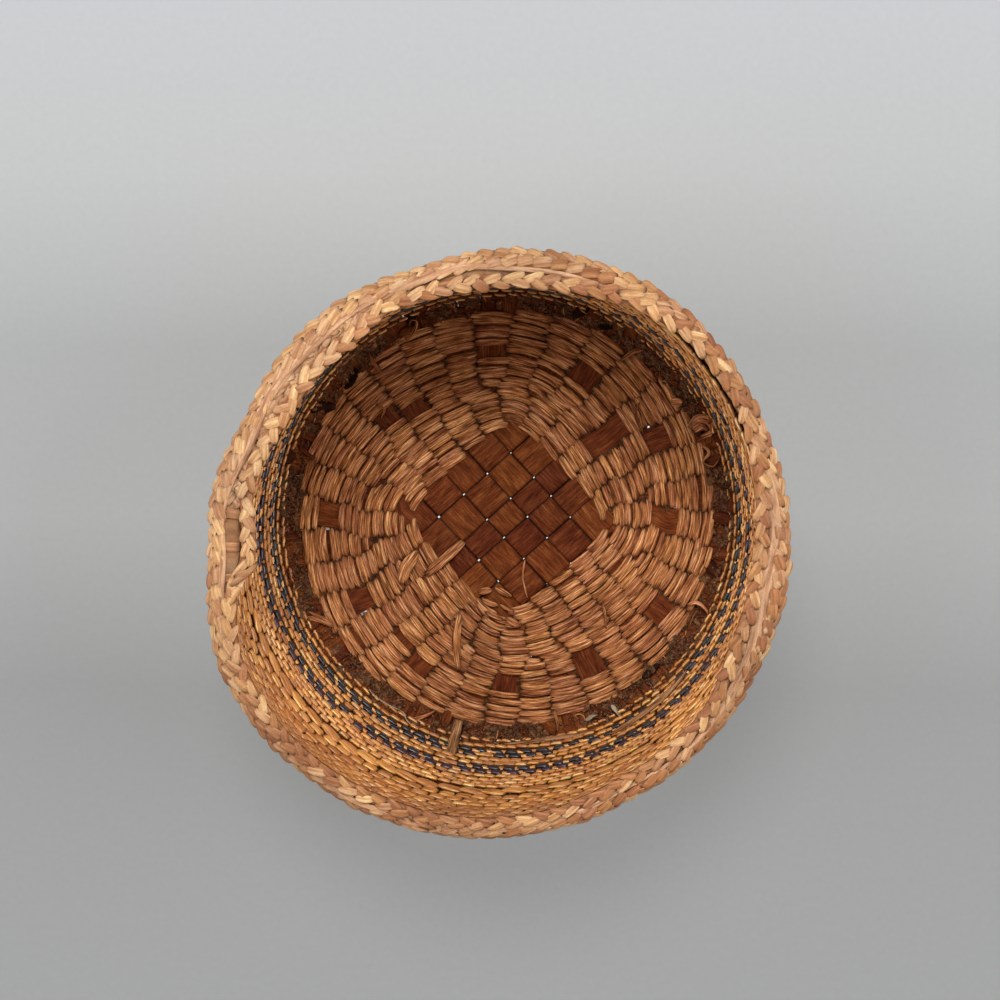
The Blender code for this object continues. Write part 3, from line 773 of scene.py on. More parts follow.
lastEdges = edgeTable[-1]
warpPlaces = (np.arange(warp["split"]) + 0.5) / warp["split"]
wallAngles = (lastEdges[:-1, None] + np.diff(lastEdges)[:, None] * warpPlaces).ravel()


def agedShare(angles, level):
    # the upper wall has browned at the lower left of the picture
    return bellsAt(angles, wallStitch["browned"]) * smooth(level, *wallStitch["brownedHeights"])


def wallStitches(number, row, inside, core=False):
    # a row's stitches, or the plain gold core that shows between its dyed ones
    name, height, tall, span, _, dyed, _ = row
    make = ropeStitch if name == "wallThickRow" else wallStitch
    chance = np.random.default_rng(500 + number + 40 * inside + 80 * core)
    count = int(round(len(wallAngles) / span))
    # dyed rows lie almost in step, so their stitches make blocks; gold ones break like bricks
    shift = make["dyedShift" if dyed else "brickShift"] * (number % 2) + 0.5 * core
    places = (np.arange(count) + shift) * span
    warpsMore = np.concatenate([wallAngles, wallAngles[:3] + fullTurn])
    middle = np.interp(places, np.arange(len(warpsMore)), warpsMore)
    half = fullTurn / count / 2
    share = np.linspace(-1, 1, make["stations" if inside else "outsideStations"])[None]
    sideways = chance.normal(0, make["sideways"], (count, 1))
    inColour = dyed and not core
    overlap = make["dyedOverlap" if inColour else "overlap"]
    reach = 1 + overlap + chance.uniform(*make["reachRange"], (count, 1))
    angles = middle[:, None] + half * (reach * share + sideways)
    slope = make["slope"] * (1 if inside else -1) * tall
    level = height + slope * share + chance.normal(0, make["wobble"], (count, 1)) * tall
    level = level + make["wander"] * rimWave(angles, 540 + number // 3, 1.0)
    swell = chance.uniform(*make["swellRange"], (count, 1)) * (make["coreWidth"] if core else 1.0)
    fill = make["fill"] * (make["dyedFill"] if inColour else 1.0)
    width = 0.5 * fill * tall * swell * tapered(share, make["narrowing"], make["paintedEndPower"])
    depth = make["depth"] * tapered(share, 0.35, make["paintedEndPower"]) * np.ones((count, 1))
    out = make["inset"] + make["crown"] * tapered(share, 0.6, 3)
    out = out + chance.uniform(*make["outRange"], (count, 1)) - make["coreSunk"] * core
    sign = -1 if inside else 1
    radius = np.where(level > footTop, wallRadius(level), footRadius(level)) + sign * out
    path = aroundAt(angles, radius, level)
    stray = chance.uniform(0, 1, count) < make["strayShare"]
    dye = np.where(stray | core, 0.0, float(dyed))
    if not dyed:
        dye = np.clip(agedShare(middle, height) * chance.uniform(0.4, 1.4, count), 0, 1)
    return loft(path, sign * outward(angles), width, depth, ring=make["ring" if inside else "outsideRing"],
                ridges=0.10, flat=make["flat"], seed=600 + number + 40 * inside + 80 * core, dye=dye)


def addWallRows():
    for number, row in enumerate(wallRows):
        name, _, _, _, finishName, dyed, node = row
        cores = (False, True) if dyed else (False,)
        parts = [wallStitches(number, row, inside, core) for core in cores for inside in (True, False)]
        makePiece(name, gather(parts), finishName, [node])
    print("stage: wall rows", len(wallRows))


# The rim: a flat hoop, rows of straw stitches outside it, and a braid laid on top.
rim = dict(hoopRadius=44.85, hoopWidth=2.9, hoopHeight=2.0, hoopLevel=39.72, hoopSeam=250, hoopLap=6,
           bareShift=-0.6, bareWiden=1.3, bareAt=2.7, coveredShift=0.6, coveredThin=1.3, coveredAt=2.3)
# The braid has slid off its line: an angle, and how far outwards it lies there. It has slipped off the
# hoop at the left and a little at the lower right, and is pushed over the edge at the upper right.
braid = dict(
    count=88, radius=43.4, level=41.6, swing=0.42, length=1.82, halfWidth=0.74, slant=28,
    crossShare=0.8, raised=0.28, tucked=0.42, rounded=0.16, roundedOver=1.4, orangeTop=(105, 45),
    turnedFrom=143, turnedTo=186, bedWidth=2.2, bedDepth=1.2, bedLevel=40.8,
    lies=((0, -0.9), (6, -0.4), (12, 0.6), (18, 1.1), (23, 1.6), (32, 2.2), (41, 2.3), (46, 2.0), (52, 1.5),
          (61, 1.1), (66, 0.4), (71, 0.0), (77, -0.5), (90, -0.9), (97, -0.4), (110, 0.0), (114, 0.2),
          (119, -1.0), (124, -2.1), (129, -2.0), (136, -1.7), (143, -1.9), (151, -1.1), (158, -1.1),
          (165, -1.4), (170, -2.3), (175, -2.7), (180, -2.7), (185, -1.0), (188, 0.0), (208, 0.8),
          (230, 0.9), (245, 0.2), (286, 0.0), (290, -0.7), (312, -0.3), (320, 0.0), (326, -0.3),
          (332, -1.0), (338, -1.6), (352, -1.5)))


def braidShift(angles):
    degrees, shifts = zip(*braid["lies"])
    return np.interp(np.degrees(angles), degrees, shifts, period=360)


def braidRadius(angles):
    return braid["radius"] + braidShift(angles)


def allRound(stations):
    # angles for a strand that closes on itself, with a small overlap
    return np.linspace(0, fullTurn + 0.02, stations)


def wholeRing(radius, height, face, width, depth, seed):
    # the dark bed of a row of leaves, all the way round; face is the way it looks, 90 for straight up
    angles = allRound(200)
    lift = outward(angles) * math.cos(math.radians(face)) + np.array([0, 0, math.sin(math.radians(face))])
    return loft(aroundAt(angles, radius, height), lift, width / 2, depth / 2, flat=0.5, seed=seed, dye=1.0,
                paintedShadeAtEnds="none")


def addHoop():
    start = math.radians(rim["hoopSeam"])
    angles = start + np.linspace(0, fullTurn + math.radians(rim["hoopLap"]), 220)
    bare = np.clip(-braidShift(angles) / rim["bareAt"], 0, 1)
    covered = np.clip(braidShift(angles) / rim["coveredAt"], 0, 1)
    radius = rim["hoopRadius"] + rim["bareShift"] * bare + rim["coveredShift"] * covered
    path = aroundAt(angles, radius, rim["hoopLevel"])
    width = rim["hoopWidth"] + rim["bareWiden"] * bare - rim["coveredThin"] * covered
    shape = loft(path, outward(angles), rim["hoopHeight"] / 2, width / 2, ring=12, flat=0.35, seed=700)
    makePiece("rimHoop", shape, "hoopWood", ["rim_hoop"])


# Straw leaves. Each set lies on a rounded edge: radius, height, the way its face looks up,
# the slant of a leaf to the way round, its half length and half width.
leaf = dict(depth=0.17, stations=8, ring=10, flat=0.42, ridges=0.05, grooves=0.05, droop=0.30, endDroop=0.12,
            rise=0.10, bedSunk=0.34, bedWidth=2.0, bedDepth=0.5)
strawRows = [
    dict(name="rimStrawRow1", radius=45.7, height=40.95, face=76, slant=20, length=1.58, wide=0.9),
    dict(name="rimStrawRow2", radius=46.75, height=40.1, face=44, slant=-20, length=1.6, wide=1.0),
    dict(name="rimStrawRow3", radius=46.95, height=38.6, face=6, slant=20, length=1.62, wide=1.05),
    dict(name="rimStrawRow4", radius=46.6, height=36.85, face=-22, slant=-20, length=1.62, wide=1.08)]
strawCount = 110
strawAged = 0.26
strawOrange = dict(everywhere=0.14, bells=((240, 46, 1.05), (320, 50, 0.4), (20, 52, 0.5), (56, 22, 0.4)))
wornStrand = dict(radius=44.75, wander=0.45, height=41.12, width=1.1, broadAt=348, broadSpread=20,
                  broader=1.2, inwards=0.5)
# reddish wraps that still hold the bare hoop at the left: angle, and width along the hoop
hoopWraps = dict(places=((170.6, 1.6), (177.7, 1.6), (184.3, 1.5), (190.0, 0.8)), radius=43.9, height=40.82,
                 reach=1.9, bend=0.012, depth=0.16)
# the worn straw that still covers the hoop where the braid has slipped: from, to, and leaves in a row
hoopLeaves = dict(stretches=((116, 168, 30), (-28, 6, 18)), rows=(45.0, 44.2, 43.4, 42.6), length=1.2,
                  wide=0.66, height=40.9, fall=0.1, slants=(30, -34), unevenSlant=14, raised=0.25,
                  droop=0.22, bedRadius=43.7, bedLevel=40.45, bedWidth=3.2, bedDepth=0.56)


def orangeShare(angles):
    # the straw is darker and more orange towards the bottom and the right of the picture
    return bellsAt(angles, **strawOrange)


def strawLeaves(row, seed, shift=0.0):
    chance = np.random.default_rng(seed)
    count = strawCount
    radius = row["radius"]
    share = np.linspace(-1, 1, leaf["stations"])[None]
    middle = (np.arange(count) + shift) / count * fullTurn + chance.normal(0, 0.004, count)
    length = row["length"] * chance.uniform(0.9, 1.12, (count, 1))
    tilt = np.radians(row["slant"] + chance.normal(0, 6, (count, 1)))
    faceUp = np.radians(row["face"] + chance.normal(0, 4, (count, 1)))
    angles = middle[:, None] + length * np.cos(tilt) * share / radius
    across = length * np.sin(tilt) * share + chance.normal(0, 0.07, (count, 1))
    out = outward(angles)
    up = np.array([0.0, 0.0, 1.0])
    lift = out * np.cos(faceUp)[..., None] + up * np.sin(faceUp)[..., None]
    over = up * np.cos(faceUp)[..., None] - out * np.sin(faceUp)[..., None]
    rise = leaf["rise"] - leaf["droop"] * np.clip(-share, 0, 1) ** 2.4
    rise = rise - leaf["endDroop"] * np.clip(share, 0, 1) ** 3
    rise = rise + chance.uniform(-0.04, 0.04, (count, 1))
    path = aroundAt(angles, radius, row["height"]) + over * across[..., None] + lift * rise[..., None]
    width = row["wide"] * tapered(share, 0.36, 4) * chance.uniform(0.9, 1.1, (count, 1))
    depth = leaf["depth"] * tapered(share, 0.45, 3) * np.ones((count, 1))
    dye = np.clip((strawAged + orangeShare(middle)) * chance.uniform(0.2, 1.6, count), 0, 1)
    return loft(path, lift, width, depth, ring=leaf["ring"], flat=leaf["flat"], ridges=leaf["ridges"],
                grooves=leaf["grooves"], seed=seed + 1, dye=dye, paintedShadeAtEnds="first")


def coveringLeaves(start, end, perRow):
    # loose, crossed leaves over the hoop, reddish and uneven
    chance = np.random.default_rng(748 + perRow)
    rows = np.array(hoopLeaves["rows"])
    count = perRow * len(rows)
    share = np.linspace(-1, 1, leaf["stations"])[None]
    row = np.arange(count) % len(rows)
    angles = np.radians(np.linspace(start, end, count)) + chance.normal(0, 0.006, count)
    tilt = np.where(row % 2, *hoopLeaves["slants"]) + chance.normal(0, hoopLeaves["unevenSlant"], count)
    tilt = np.radians(tilt)[:, None]
    length = hoopLeaves["length"] * chance.uniform(0.8, 1.25, (count, 1))
    radius = rows[row][:, None] + chance.normal(0, 0.12, (count, 1))
    reach = radius + length * np.sin(tilt) * share
    turned = angles[:, None] + length * np.cos(tilt) * share / radius
    height = hoopLeaves["height"] - hoopLeaves["fall"] * (rows[0] - radius)
    height = height + chance.uniform(0, hoopLeaves["raised"], (count, 1))
    height = height - hoopLeaves["droop"] * np.abs(share) ** 2.4
    width = hoopLeaves["wide"] * chance.uniform(0.7, 1.15, (count, 1)) * tapered(share, 0.45, 3)
    leaves = loft(aroundAt(turned, reach, height), (0, 0, 1), width, leaf["depth"], ring=leaf["ring"],
                  flat=leaf["flat"], ridges=0.2, grooves=0.3, seed=749 + perRow, paintedShadeAtEnds="first",
                  dye=chance.uniform(0.0, 0.8, count))
    angles = np.radians(np.linspace(start - 2, end, 40))
    bed = loft(aroundAt(angles, hoopLeaves["bedRadius"], hoopLeaves["bedLevel"]), (0, 0, 1),
               hoopLeaves["bedWidth"] / 2, hoopLeaves["bedDepth"] / 2, flat=0.6, seed=750, dye=1.0,
               paintedShadeAtEnds="none")
    return gather([leaves, bed])


def addStraw():
    for number, row in enumerate(strawRows):
        turn = math.radians(row["face"])
        radius = row["radius"] - leaf["bedSunk"] * math.cos(turn)
        height = row["height"] - leaf["bedSunk"] * math.sin(turn)
        bed = wholeRing(radius, height, row["face"], leaf["bedWidth"], leaf["bedDepth"], 740 + number)
        shape = gather([strawLeaves(row, 720 + 2 * number, number % 2 / 2), bed])
        makePiece(row["name"], shape, "rimStraw", ["rim_binding"])
    # one worn strand runs along between the braid and the straw
    angles = allRound(240)
    radius = wornStrand["radius"] + rimWave(angles, 735, wornStrand["wander"])
    bared = bellAt(angles, wornStrand["broadAt"], wornStrand["broadSpread"])
    radius = radius - wornStrand["inwards"] * bared
    width = wornStrand["width"] / 2 * (1 + 0.3 * rimWave(angles, 736, 1.0) + wornStrand["broader"] * bared)
    wraps = [loft(aroundAt(angles, radius, wornStrand["height"]), (0, 0, 1), width, 0.2, flat=0.6,
                  ridges=0.2, seed=737, dye=0.3, paintedShadeAtEnds="none")]
    for number, (angle, width) in enumerate(hoopWraps["places"]):
        reach = np.linspace(-hoopWraps["reach"], hoopWraps["reach"], 9)
        height = hoopWraps["height"] - hoopWraps["bend"] * np.abs(reach) ** 5
        path = aroundAt(math.radians(angle), hoopWraps["radius"] + reach, height)
        wraps.append(loft(path, (0, 0, 1), width / 2, hoopWraps["depth"], flat=0.5, ridges=0.2,
                          seed=745 + number, dye=1.0, tone=0.6))
    covers = [coveringLeaves(*stretch) for stretch in hoopLeaves["stretches"]]
    makePiece("rimHoopWraps", gather([*wraps, *covers]), "wornStraw", ["rim_binding"])
    print("stage: straw rows", len(strawRows))


def braidLeaves(side, seed):
    chance = np.random.default_rng(seed)
    count = braid["count"]
    share = np.linspace(-1, 1, leaf["stations"])[None]
    middle = (np.arange(count) + (0.5 if side > 0 else 0.0)) / count * fullTurn
    middle = middle + chance.normal(0, 0.005, count)
    length = braid["length"] * chance.uniform(0.88, 1.14, (count, 1))
    tilt = np.radians(braid["slant"] + chance.normal(0, 6, (count, 1)))
    # two braids meet: the short one at the left runs the other way
    degrees = np.degrees(middle) % 360
    way = np.where((degrees > braid["turnedFrom"]) & (degrees < braid["turnedTo"]), 1.0, -1.0)[:, None]
    angles = middle[:, None] + way * length * np.cos(tilt) * share / braid["radius"]
    across = braid["swing"] + length * np.sin(tilt) * share * braid["crossShare"]
    across = side * (across + chance.normal(0, 0.07, (count, 1)))
    rise = braid["raised"] - braid["tucked"] * np.clip(-share, 0, 1) ** 2.4
    rise = rise - leaf["droop"] * np.clip(share, 0, 1) ** 2.6
    rise = rise + chance.uniform(-0.08, 0.08, (count, 1))
    height = braid["level"] + rise - braid["rounded"] * (across / braid["roundedOver"]) ** 2
    path = aroundAt(angles, braidRadius(angles) + across, height)
    width = braid["halfWidth"] * tapered(share, 0.6, 3) * chance.uniform(0.88, 1.14, (count, 1))
    depth = leaf["depth"] * tapered(share, 0.45, 3) * np.ones((count, 1))
    # the inner leaves are the more orange ones, most of all at the top of the picture
    atTop = bellAt(middle, *braid["orangeTop"])
    more = 0.1 * atTop if side > 0 else 0.2 + 0.4 * atTop
    dye = np.clip((orangeShare(middle) + more) * chance.uniform(0.2, 1.6, count), 0, 1)
    return loft(path, (0, 0, 1), width, depth, ring=leaf["ring"], flat=leaf["flat"],
                ridges=leaf["ridges"], grooves=leaf["grooves"], seed=seed + 5, dye=dye, paintedShadeAtEnds="first")


def braidBed():
    # the strands' lower halves, seen only as the dark between the leaves
    angles = allRound(220)
    path = aroundAt(angles, braidRadius(angles), braid["bedLevel"])
    return loft(path, (0, 0, 1), braid["bedWidth"] / 2, braid["bedDepth"] / 2, flat=0.6, seed=770, dye=0.9,
                paintedShadeAtEnds="none")


def addBraid():
    for number, side in enumerate((1, -1)):
        nodes = ["rim_braid_strand_1", "rim_braid_strand_2"] if side > 0 else ["rim_braid_strand_3"]
        shape = braidLeaves(side, 760 + number)
        if side > 0:
            shape = gather([shape, braidBed()])
        makePiece(f"rimBraid{number + 1}", shape, "rimStraw", nodes)
    print("stage: braid")


# The corner between base and wall, where bark has split and crumbled.
debris = dict(
    inner=36.0, outer=39.9, spill=0.4, clearOfHoles=1.7,
    lumps=dict(count=400, seed=800, stations=6, ring=8, length=1.8, width=1.2, thickness=0.6,
               raised=-0.18, curl=0.5, clumped=0.45),
    crumbs=dict(count=1800, seed=802, stations=4, ring=5, length=0.5, width=0.36, thickness=0.3,
                raised=0.10, clumped=0.3),
    shreds=dict(count=420, seed=804, stations=7, ring=5, length=2.4, width=0.16, thickness=0.12,
                raised=0.12, curl=0.9, clumped=0.5),
    paleShreds=dict(count=34, seed=808, stations=7, ring=5, length=2.6, width=0.22, thickness=0.14,
                    raised=0.15, curl=0.8, clumped=0.3),
    tabs=dict(count=34, seed=806, stations=5, ring=8, length=3.0, width=2.2, thickness=0.24,
              raised=0.12, curl=0.1, ridges=0.2))


def cornerTop(radii):
    return np.interp(radii, [35.8, 37.0, 38.4, 39.4, 40.2], [1.3, 1.3, 1.75, 2.4, 3.2])


def cornerPlaces(chance, count, clumped=0.0):
    # places along the corner; clumped ones gather in a few stretches of it
    angles = chance.uniform(0, fullTurn, count * 3)
    thick = 0.5 + rimWave(angles, 31, 1.0)
    angles = angles[np.argsort(-(clumped * thick + chance.uniform(0, 1, count * 3)))][:count]
    return angles, chance.uniform(debris["inner"], debris["outer"], count)


def scattered(count, seed, stations, ring, length, width, thickness, raised, curl=0.0, clumped=0.0,
              ridges=0.4):
    chance = np.random.default_rng(seed)
    angles, radii = cornerPlaces(chance, count, clumped)
    radii = np.where(nearPinhole(angles, radii), radii + debris["clearOfHoles"], radii)
    middle = aroundAt(angles, radii, cornerTop(radii) + raised + chance.uniform(-0.1, 0.15, count))
    turn = chance.uniform(0, fullTurn, (count, 1))
    turn = turn + curl * chance.normal(0, 1, (count, 1)) * np.linspace(-1, 1, stations)
    climb = chance.normal(0, 0.15, (count, 1)) * np.ones(stations)
    long = length * chance.uniform(0.5, 1.5, (count, 1))
    step = np.stack([np.cos(turn), np.sin(turn), climb], axis=-1) * (long / (stations - 1))[..., None]
    path = np.cumsum(step, axis=1)
    path = path - path.mean(axis=1, keepdims=True) + middle[:, None]
    reach = np.hypot(path[..., 0], path[..., 1])
    inside = np.minimum(reach, debris["outer"] + debris["spill"]) / reach
    path[..., :2] *= inside[..., None]
    path[..., 2] = np.maximum(path[..., 2], cornerTop(np.hypot(path[..., 0], path[..., 1])) + raised)
    share = np.linspace(-1, 1, stations)[None]
    narrow = tapered(share, 0.6, 2.5)
    wide = width * chance.uniform(0.5, 1.5, (count, 1)) * narrow / 2
    thick = thickness * chance.uniform(0.7, 1.3, (count, 1)) * narrow / 2
    lift = unit(np.array([0.0, 0.0, 1.0]) + chance.normal(0, 0.25, (count, 1, 3)))
    dye = chance.uniform(0, 1, count) ** 3
    return loft(path, lift, wide, thick, ring=ring, ridges=ridges, flat=0.8, seed=seed + 1, dye=dye)


# Scraps of bark woven into the base where a gap would let the floor show: their middles.
scraps = dict(places=((-2.4, 23.1), (4.3, 21.7), (20.7, 20.5), (27.1, 12.2), (23.7, 4.1), (21.6, -6.5),
                      (-21.6, 6.9)), length=2.6, width=2.0, thickness=0.3, height=0.75)


def addScraps():
    reach = scraps["length"] / 2
    shapes = []
    for number, (x, y) in enumerate(scraps["places"]):
        points = [(x + move, y, scraps["height"]) for move in (-reach, 0.0, reach)]
        shapes.append(looseStrip(points, scraps["width"], scraps["thickness"], 940 + number, stations=5))
    makePiece("baseScraps", gather(shapes), "plaitedBark")
    print("stage: scraps", len(shapes))


def addDebris():
    dust = [scattered(**debris[kind]) for kind in ("lumps", "crumbs", "shreds")]
    makePiece("cornerDust", gather(dust), "cornerDust")
    makePiece("cornerShreds", scattered(**debris["paleShreds"]), "twinedBark")
    makePiece("cornerTabs", scattered(**debris["tabs"]), "plaitedBark")
    print("stage: corner debris")


# Loose bits that lie on the base: points along each, width, thickness, twist.
looseBits = dict(
    tanLeafLeft=dict(points=[(-18.5, -11.3, 1.9), (-17.6, -8.4, 2.1), (-15.6, -5.4, 1.9)],
                     width=2.3, taper=0.8),
    tanTab=dict(points=[(-14.2, -9.6, 1.9), (-11.0, -6.9, 2.1), (-7.7, -3.8, 1.55)], width=1.7, taper=0.45),
    tanUpright=dict(points=[(-8.4, -16.6, 1.8), (-9.0, -21.0, 2.0), (-8.6, -26.4, 1.8)],
                    width=1.4, taper=0.5),
    fineRight=dict(points=[(16.3, -14.6, 1.8), (16.8, -16.4, 2.2), (17.0, -18.8, 1.8)],
                   width=0.6, thickness=0.2, twist=40),
    fineMiddle=dict(points=[(2.9, -7.0, 1.35), (2.6, -10.1, 1.5), (3.3, -13.6, 1.7)],
                    width=0.35, thickness=0.18, twist=60),
    bentLeft=dict(points=[(21.9, 20.2, 1.8), (22.8, 17.9, 2.2), (23.2, 15.1, 1.8)],
                  width=0.5, thickness=0.2, twist=90),
    bentRight=dict(points=[(22.6, 20.6, 1.8), (21.9, 18.3, 2.3), (22.8, 15.8, 1.8)],
                   width=0.45, thickness=0.2, twist=60),
    roundChip=dict(points=[(28.1, 20.9, 2.0), (29.1, 20.8, 2.1), (30.1, 20.7, 2.0)],
                   width=1.7, thickness=0.4, taper=0.6),
    curledPatch=dict(points=[(31.5, 16.2, 1.9), (32.8, 18.0, 2.4), (34.9, 17.7, 2.6), (35.6, 15.8, 2.3),
                             (33.6, 14.8, 2.0)], width=1.5, thickness=0.3, taper=0.3, twist=30),
    curledHeart=dict(points=[(32.2, 16.0, 2.0), (33.6, 16.9, 2.5), (34.8, 16.2, 2.1)],
                     width=1.7, thickness=0.4, taper=0.4, twist=50),
    curlRight=dict(points=[(33.6, 13.5, 2.0), (35.0, 12.2, 2.5), (33.9, 10.5, 2.6), (35.7, 9.7, 2.5),
                           (37.0, 11.1, 2.2)], width=0.6, thickness=0.3, twist=120),
    sliverTopRight=dict(points=[(19.4, 27.8, 1.7), (21.5, 29.4, 2.0), (23.4, 29.8, 1.9)],
                        width=0.8, taper=0.8),
    curlTopLeft=dict(points=[(-21.8, 25.6, 1.8), (-23.1, 27.4, 2.3), (-23.8, 29.0, 2.0)],
                     width=0.8, twist=80),
    curlTop=dict(points=[(-17.3, 31.1, 1.9), (-16.0, 32.6, 2.5), (-15.5, 34.3, 2.5), (-16.5, 34.6, 2.2),
                         (-16.9, 33.6, 2.0)], width=0.7, thickness=0.3, twist=150),
    curlByWindow=dict(points=[(-22.5, 20.1, 1.8), (-21.3, 19.1, 2.3), (-21.8, 17.7, 2.3),
                              (-20.8, 16.6, 1.7)], width=0.6, thickness=0.3, twist=160),
    shredRight=dict(points=[(31.5, -14.8, 2.0), (32.9, -14.3, 2.4), (34.2, -15.0, 2.5), (35.0, -16.5, 2.2),
                            (33.2, -16.7, 2.1)], width=0.8, thickness=0.3, twist=90),
    sliverPairA=dict(points=[(-35.3, -17.2, 2.0), (-33.0, -17.6, 2.2), (-30.3, -18.9, 1.9)],
                     width=0.9, taper=0.8),
    sliverPairB=dict(points=[(-34.7, -16.2, 2.1), (-32.3, -17.2, 2.4), (-30.8, -18.1, 2.0)],
                     width=0.6, taper=0.8),
    paleCurve=dict(points=[(-16.9, -35.3, 2.0), (-15.0, -34.7, 2.3), (-12.7, -33.7, 1.9)],
                   width=0.7, thickness=0.2, twist=40),
    paleFibre=dict(points=[(8.0, -33.7, 1.8), (8.6, -35.3, 2.2), (8.6, -37.2, 2.1)],
                   width=0.5, thickness=0.2, twist=60),
    brokenWarp=dict(points=[(-8.5, -35.4, 1.9), (-9.0, -37.4, 4.0), (-9.4, -39.0, 6.6), (-9.8, -40.2, 9.2)],
                    width=1.8, thickness=0.35, taper=0.15))
# Chips torn up where the plait meets the first rounds: two ends of each.
tornChips = [
    ((-5.2, -12.6), (-2.8, -12.2)), ((-4.5, -14.0), (-1.7, -15.1)), ((-2.2, -11.9), (0.7, -13.5)),
    ((-1.4, -14.9), (1.1, -16.1)), ((-3.8, -16.1), (-0.9, -17.5)), ((-0.3, -17.2), (2.1, -18.6)),
    ((-5.5, -14.7), (-4.2, -16.8))]
# Two long slivers of the wall's grass that have sprung loose at the foot, and a fine pale thread.
footSlivers = [
    [(-0.5, -39.3, 2.9), (5.6, -38.7, 2.7), (11.7, -37.7, 2.6), (16.9, -36.6, 2.8), (21.4, -34.8, 3.2)],
    [(18.1, -36.0, 9.0), (21.7, -33.8, 9.0), (25.4, -31.1, 9.0), (28.4, -28.3, 9.0), (31.2, -25.0, 9.2)]]
paleThread = [
    (-24.2, -29.8, 2.3), (-23.1, -30.9, 2.9), (-21.0, -32.3, 3.0), (-18.3, -33.7, 2.9), (-17.6, -35.1, 3.0),
    (-16.2, -36.5, 3.0), (-13.4, -37.6, 3.2)]
lint = [
    [(13.6, -35.2, 2.2), (14.7, -34.4, 2.5), (15.7, -34.3, 2.3)],
    [(18.1, -32.5, 2.2), (19.0, -33.6, 2.6), (19.7, -35.0, 2.4)]]


def addLooseBits():
    for number, (name, bit) in enumerate(looseBits.items()):
        finishName = "looseFibre" if name == "brokenWarp" else "twinedBark"
        makePiece(name, looseStrip(seed=830 + number, **bit), finishName)
    chance = np.random.default_rng(860)
    chips = []
    for number, (start, end) in enumerate(tornChips):
        middle = [(start[0] + end[0]) / 2, (start[1] + end[1]) / 2, 1.8 + chance.uniform(0, 0.3)]
        chips.append(looseStrip([(*start, 1.5), middle, (*end, 1.6)], chance.uniform(0.7, 1.3), 0.25,
                                861 + number, taper=0.7, twist=chance.uniform(-40, 40), stations=9))
    makePiece("tornChips", gather(chips), "twinedBark")
    slivers = [looseStrip(points, 0.9, 0.25, 880 + number, taper=0.7, stations=30, twist=25, tone=0.3)
               for number, points in enumerate(footSlivers)]
    makePiece("footSlivers", gather(slivers), "looseFibre")
    thread = looseStrip(paleThread, 0.16, 0.16, 890, taper=0.2, stations=60, ring=6, dye=1.0)
    makePiece("paleThread", thread, "looseFibre")
    tufts = [looseStrip(points, 0.9, 0.35, 892 + number, taper=0.6, twist=120, dye=0.9)
             for number, points in enumerate(lint)]
    makePiece("lint", gather(tufts), "looseFibre")
    print("stage: loose bits", len(looseBits) + 4)


# Straw ends that have worked loose from the rim: points, width.
rimEnds = [
    ([(-43.5, -4.6, 41.7), (-41.8, -3.3, 42.3), (-40.2, -2.0, 42.2), (-39.0, -0.7, 41.7)], 1.2),
    ([(-42.7, -2.9, 41.8), (-41.1, -2.3, 42.4), (-39.6, -2.1, 41.9)], 1.0),
    ([(-43.7, -3.9, 41.5), (-43.1, -5.4, 42.0), (-42.2, -6.4, 41.7)], 0.9),
    ([(-15.2, -43.4, 40.9), (-12.6, -43.9, 41.9), (-9.6, -43.5, 41.7)], 1.1),
    ([(-14.0, -42.4, 41.2), (-12.0, -44.4, 42.0), (-9.8, -45.3, 41.2)], 0.9),
    ([(-12.4, -42.6, 41.5), (-10.8, -43.8, 42.1), (-8.4, -44.6, 41.6)], 0.8)]


def addRimEnds():
    shapes = [looseStrip(points, width, 0.3, 900 + number, taper=0.6, twist=35, dye=0.7)
              for number, (points, width) in enumerate(rimEnds)]
    makePiece("rimLooseEnds", gather(shapes), "rimStraw")
    print("stage: rim ends", len(rimEnds))


addPlaitedStrips()
addCornerWarps()
addBaseRounds()
addWallRows()
addHoop()
addStraw()
addBraid()
addRimEnds()
addDebris()
addScraps()
addLooseBits()


# The floor, the lamps and the camera.
studio = dict(
    floorSize=3.0, floorGlow=0.62, floorRough=0.9, skyLevel=0.38, speckScale=900.0, speckRange=(0.96, 1.04),
    # each lamp: power, tilt from straight above, the side it comes from, clockwise from the top, and size
    lamps=dict(keyLamp=(2.1, 33, -5, 24), eastLamp=(1.7, 60, 84, 40), westLamp=(1.55, 62, -98, 50)),
    # painted light: how far from the middle the paper glows white under the base, in millimetres, and how
    # brightly
    paintedGlowRadius=30.0, paintedGlowStrength=1.3,
    # painted light on the paper: its shade from front to back, by distance in millimetres
    paintedPaperLight=((-90, (153, 154, 154)), (-30, (152, 153, 152)), (0, (171, 172, 171)), (30, (170, 172, 171)),
           (40, (177, 179, 178)), (60, (187, 189, 188)), (90, (192, 193, 196))))
photo = dict(place=(16.5, 74.2, 486.5), aim=(-0.706, 6.162, 20.0), lens=102.35)


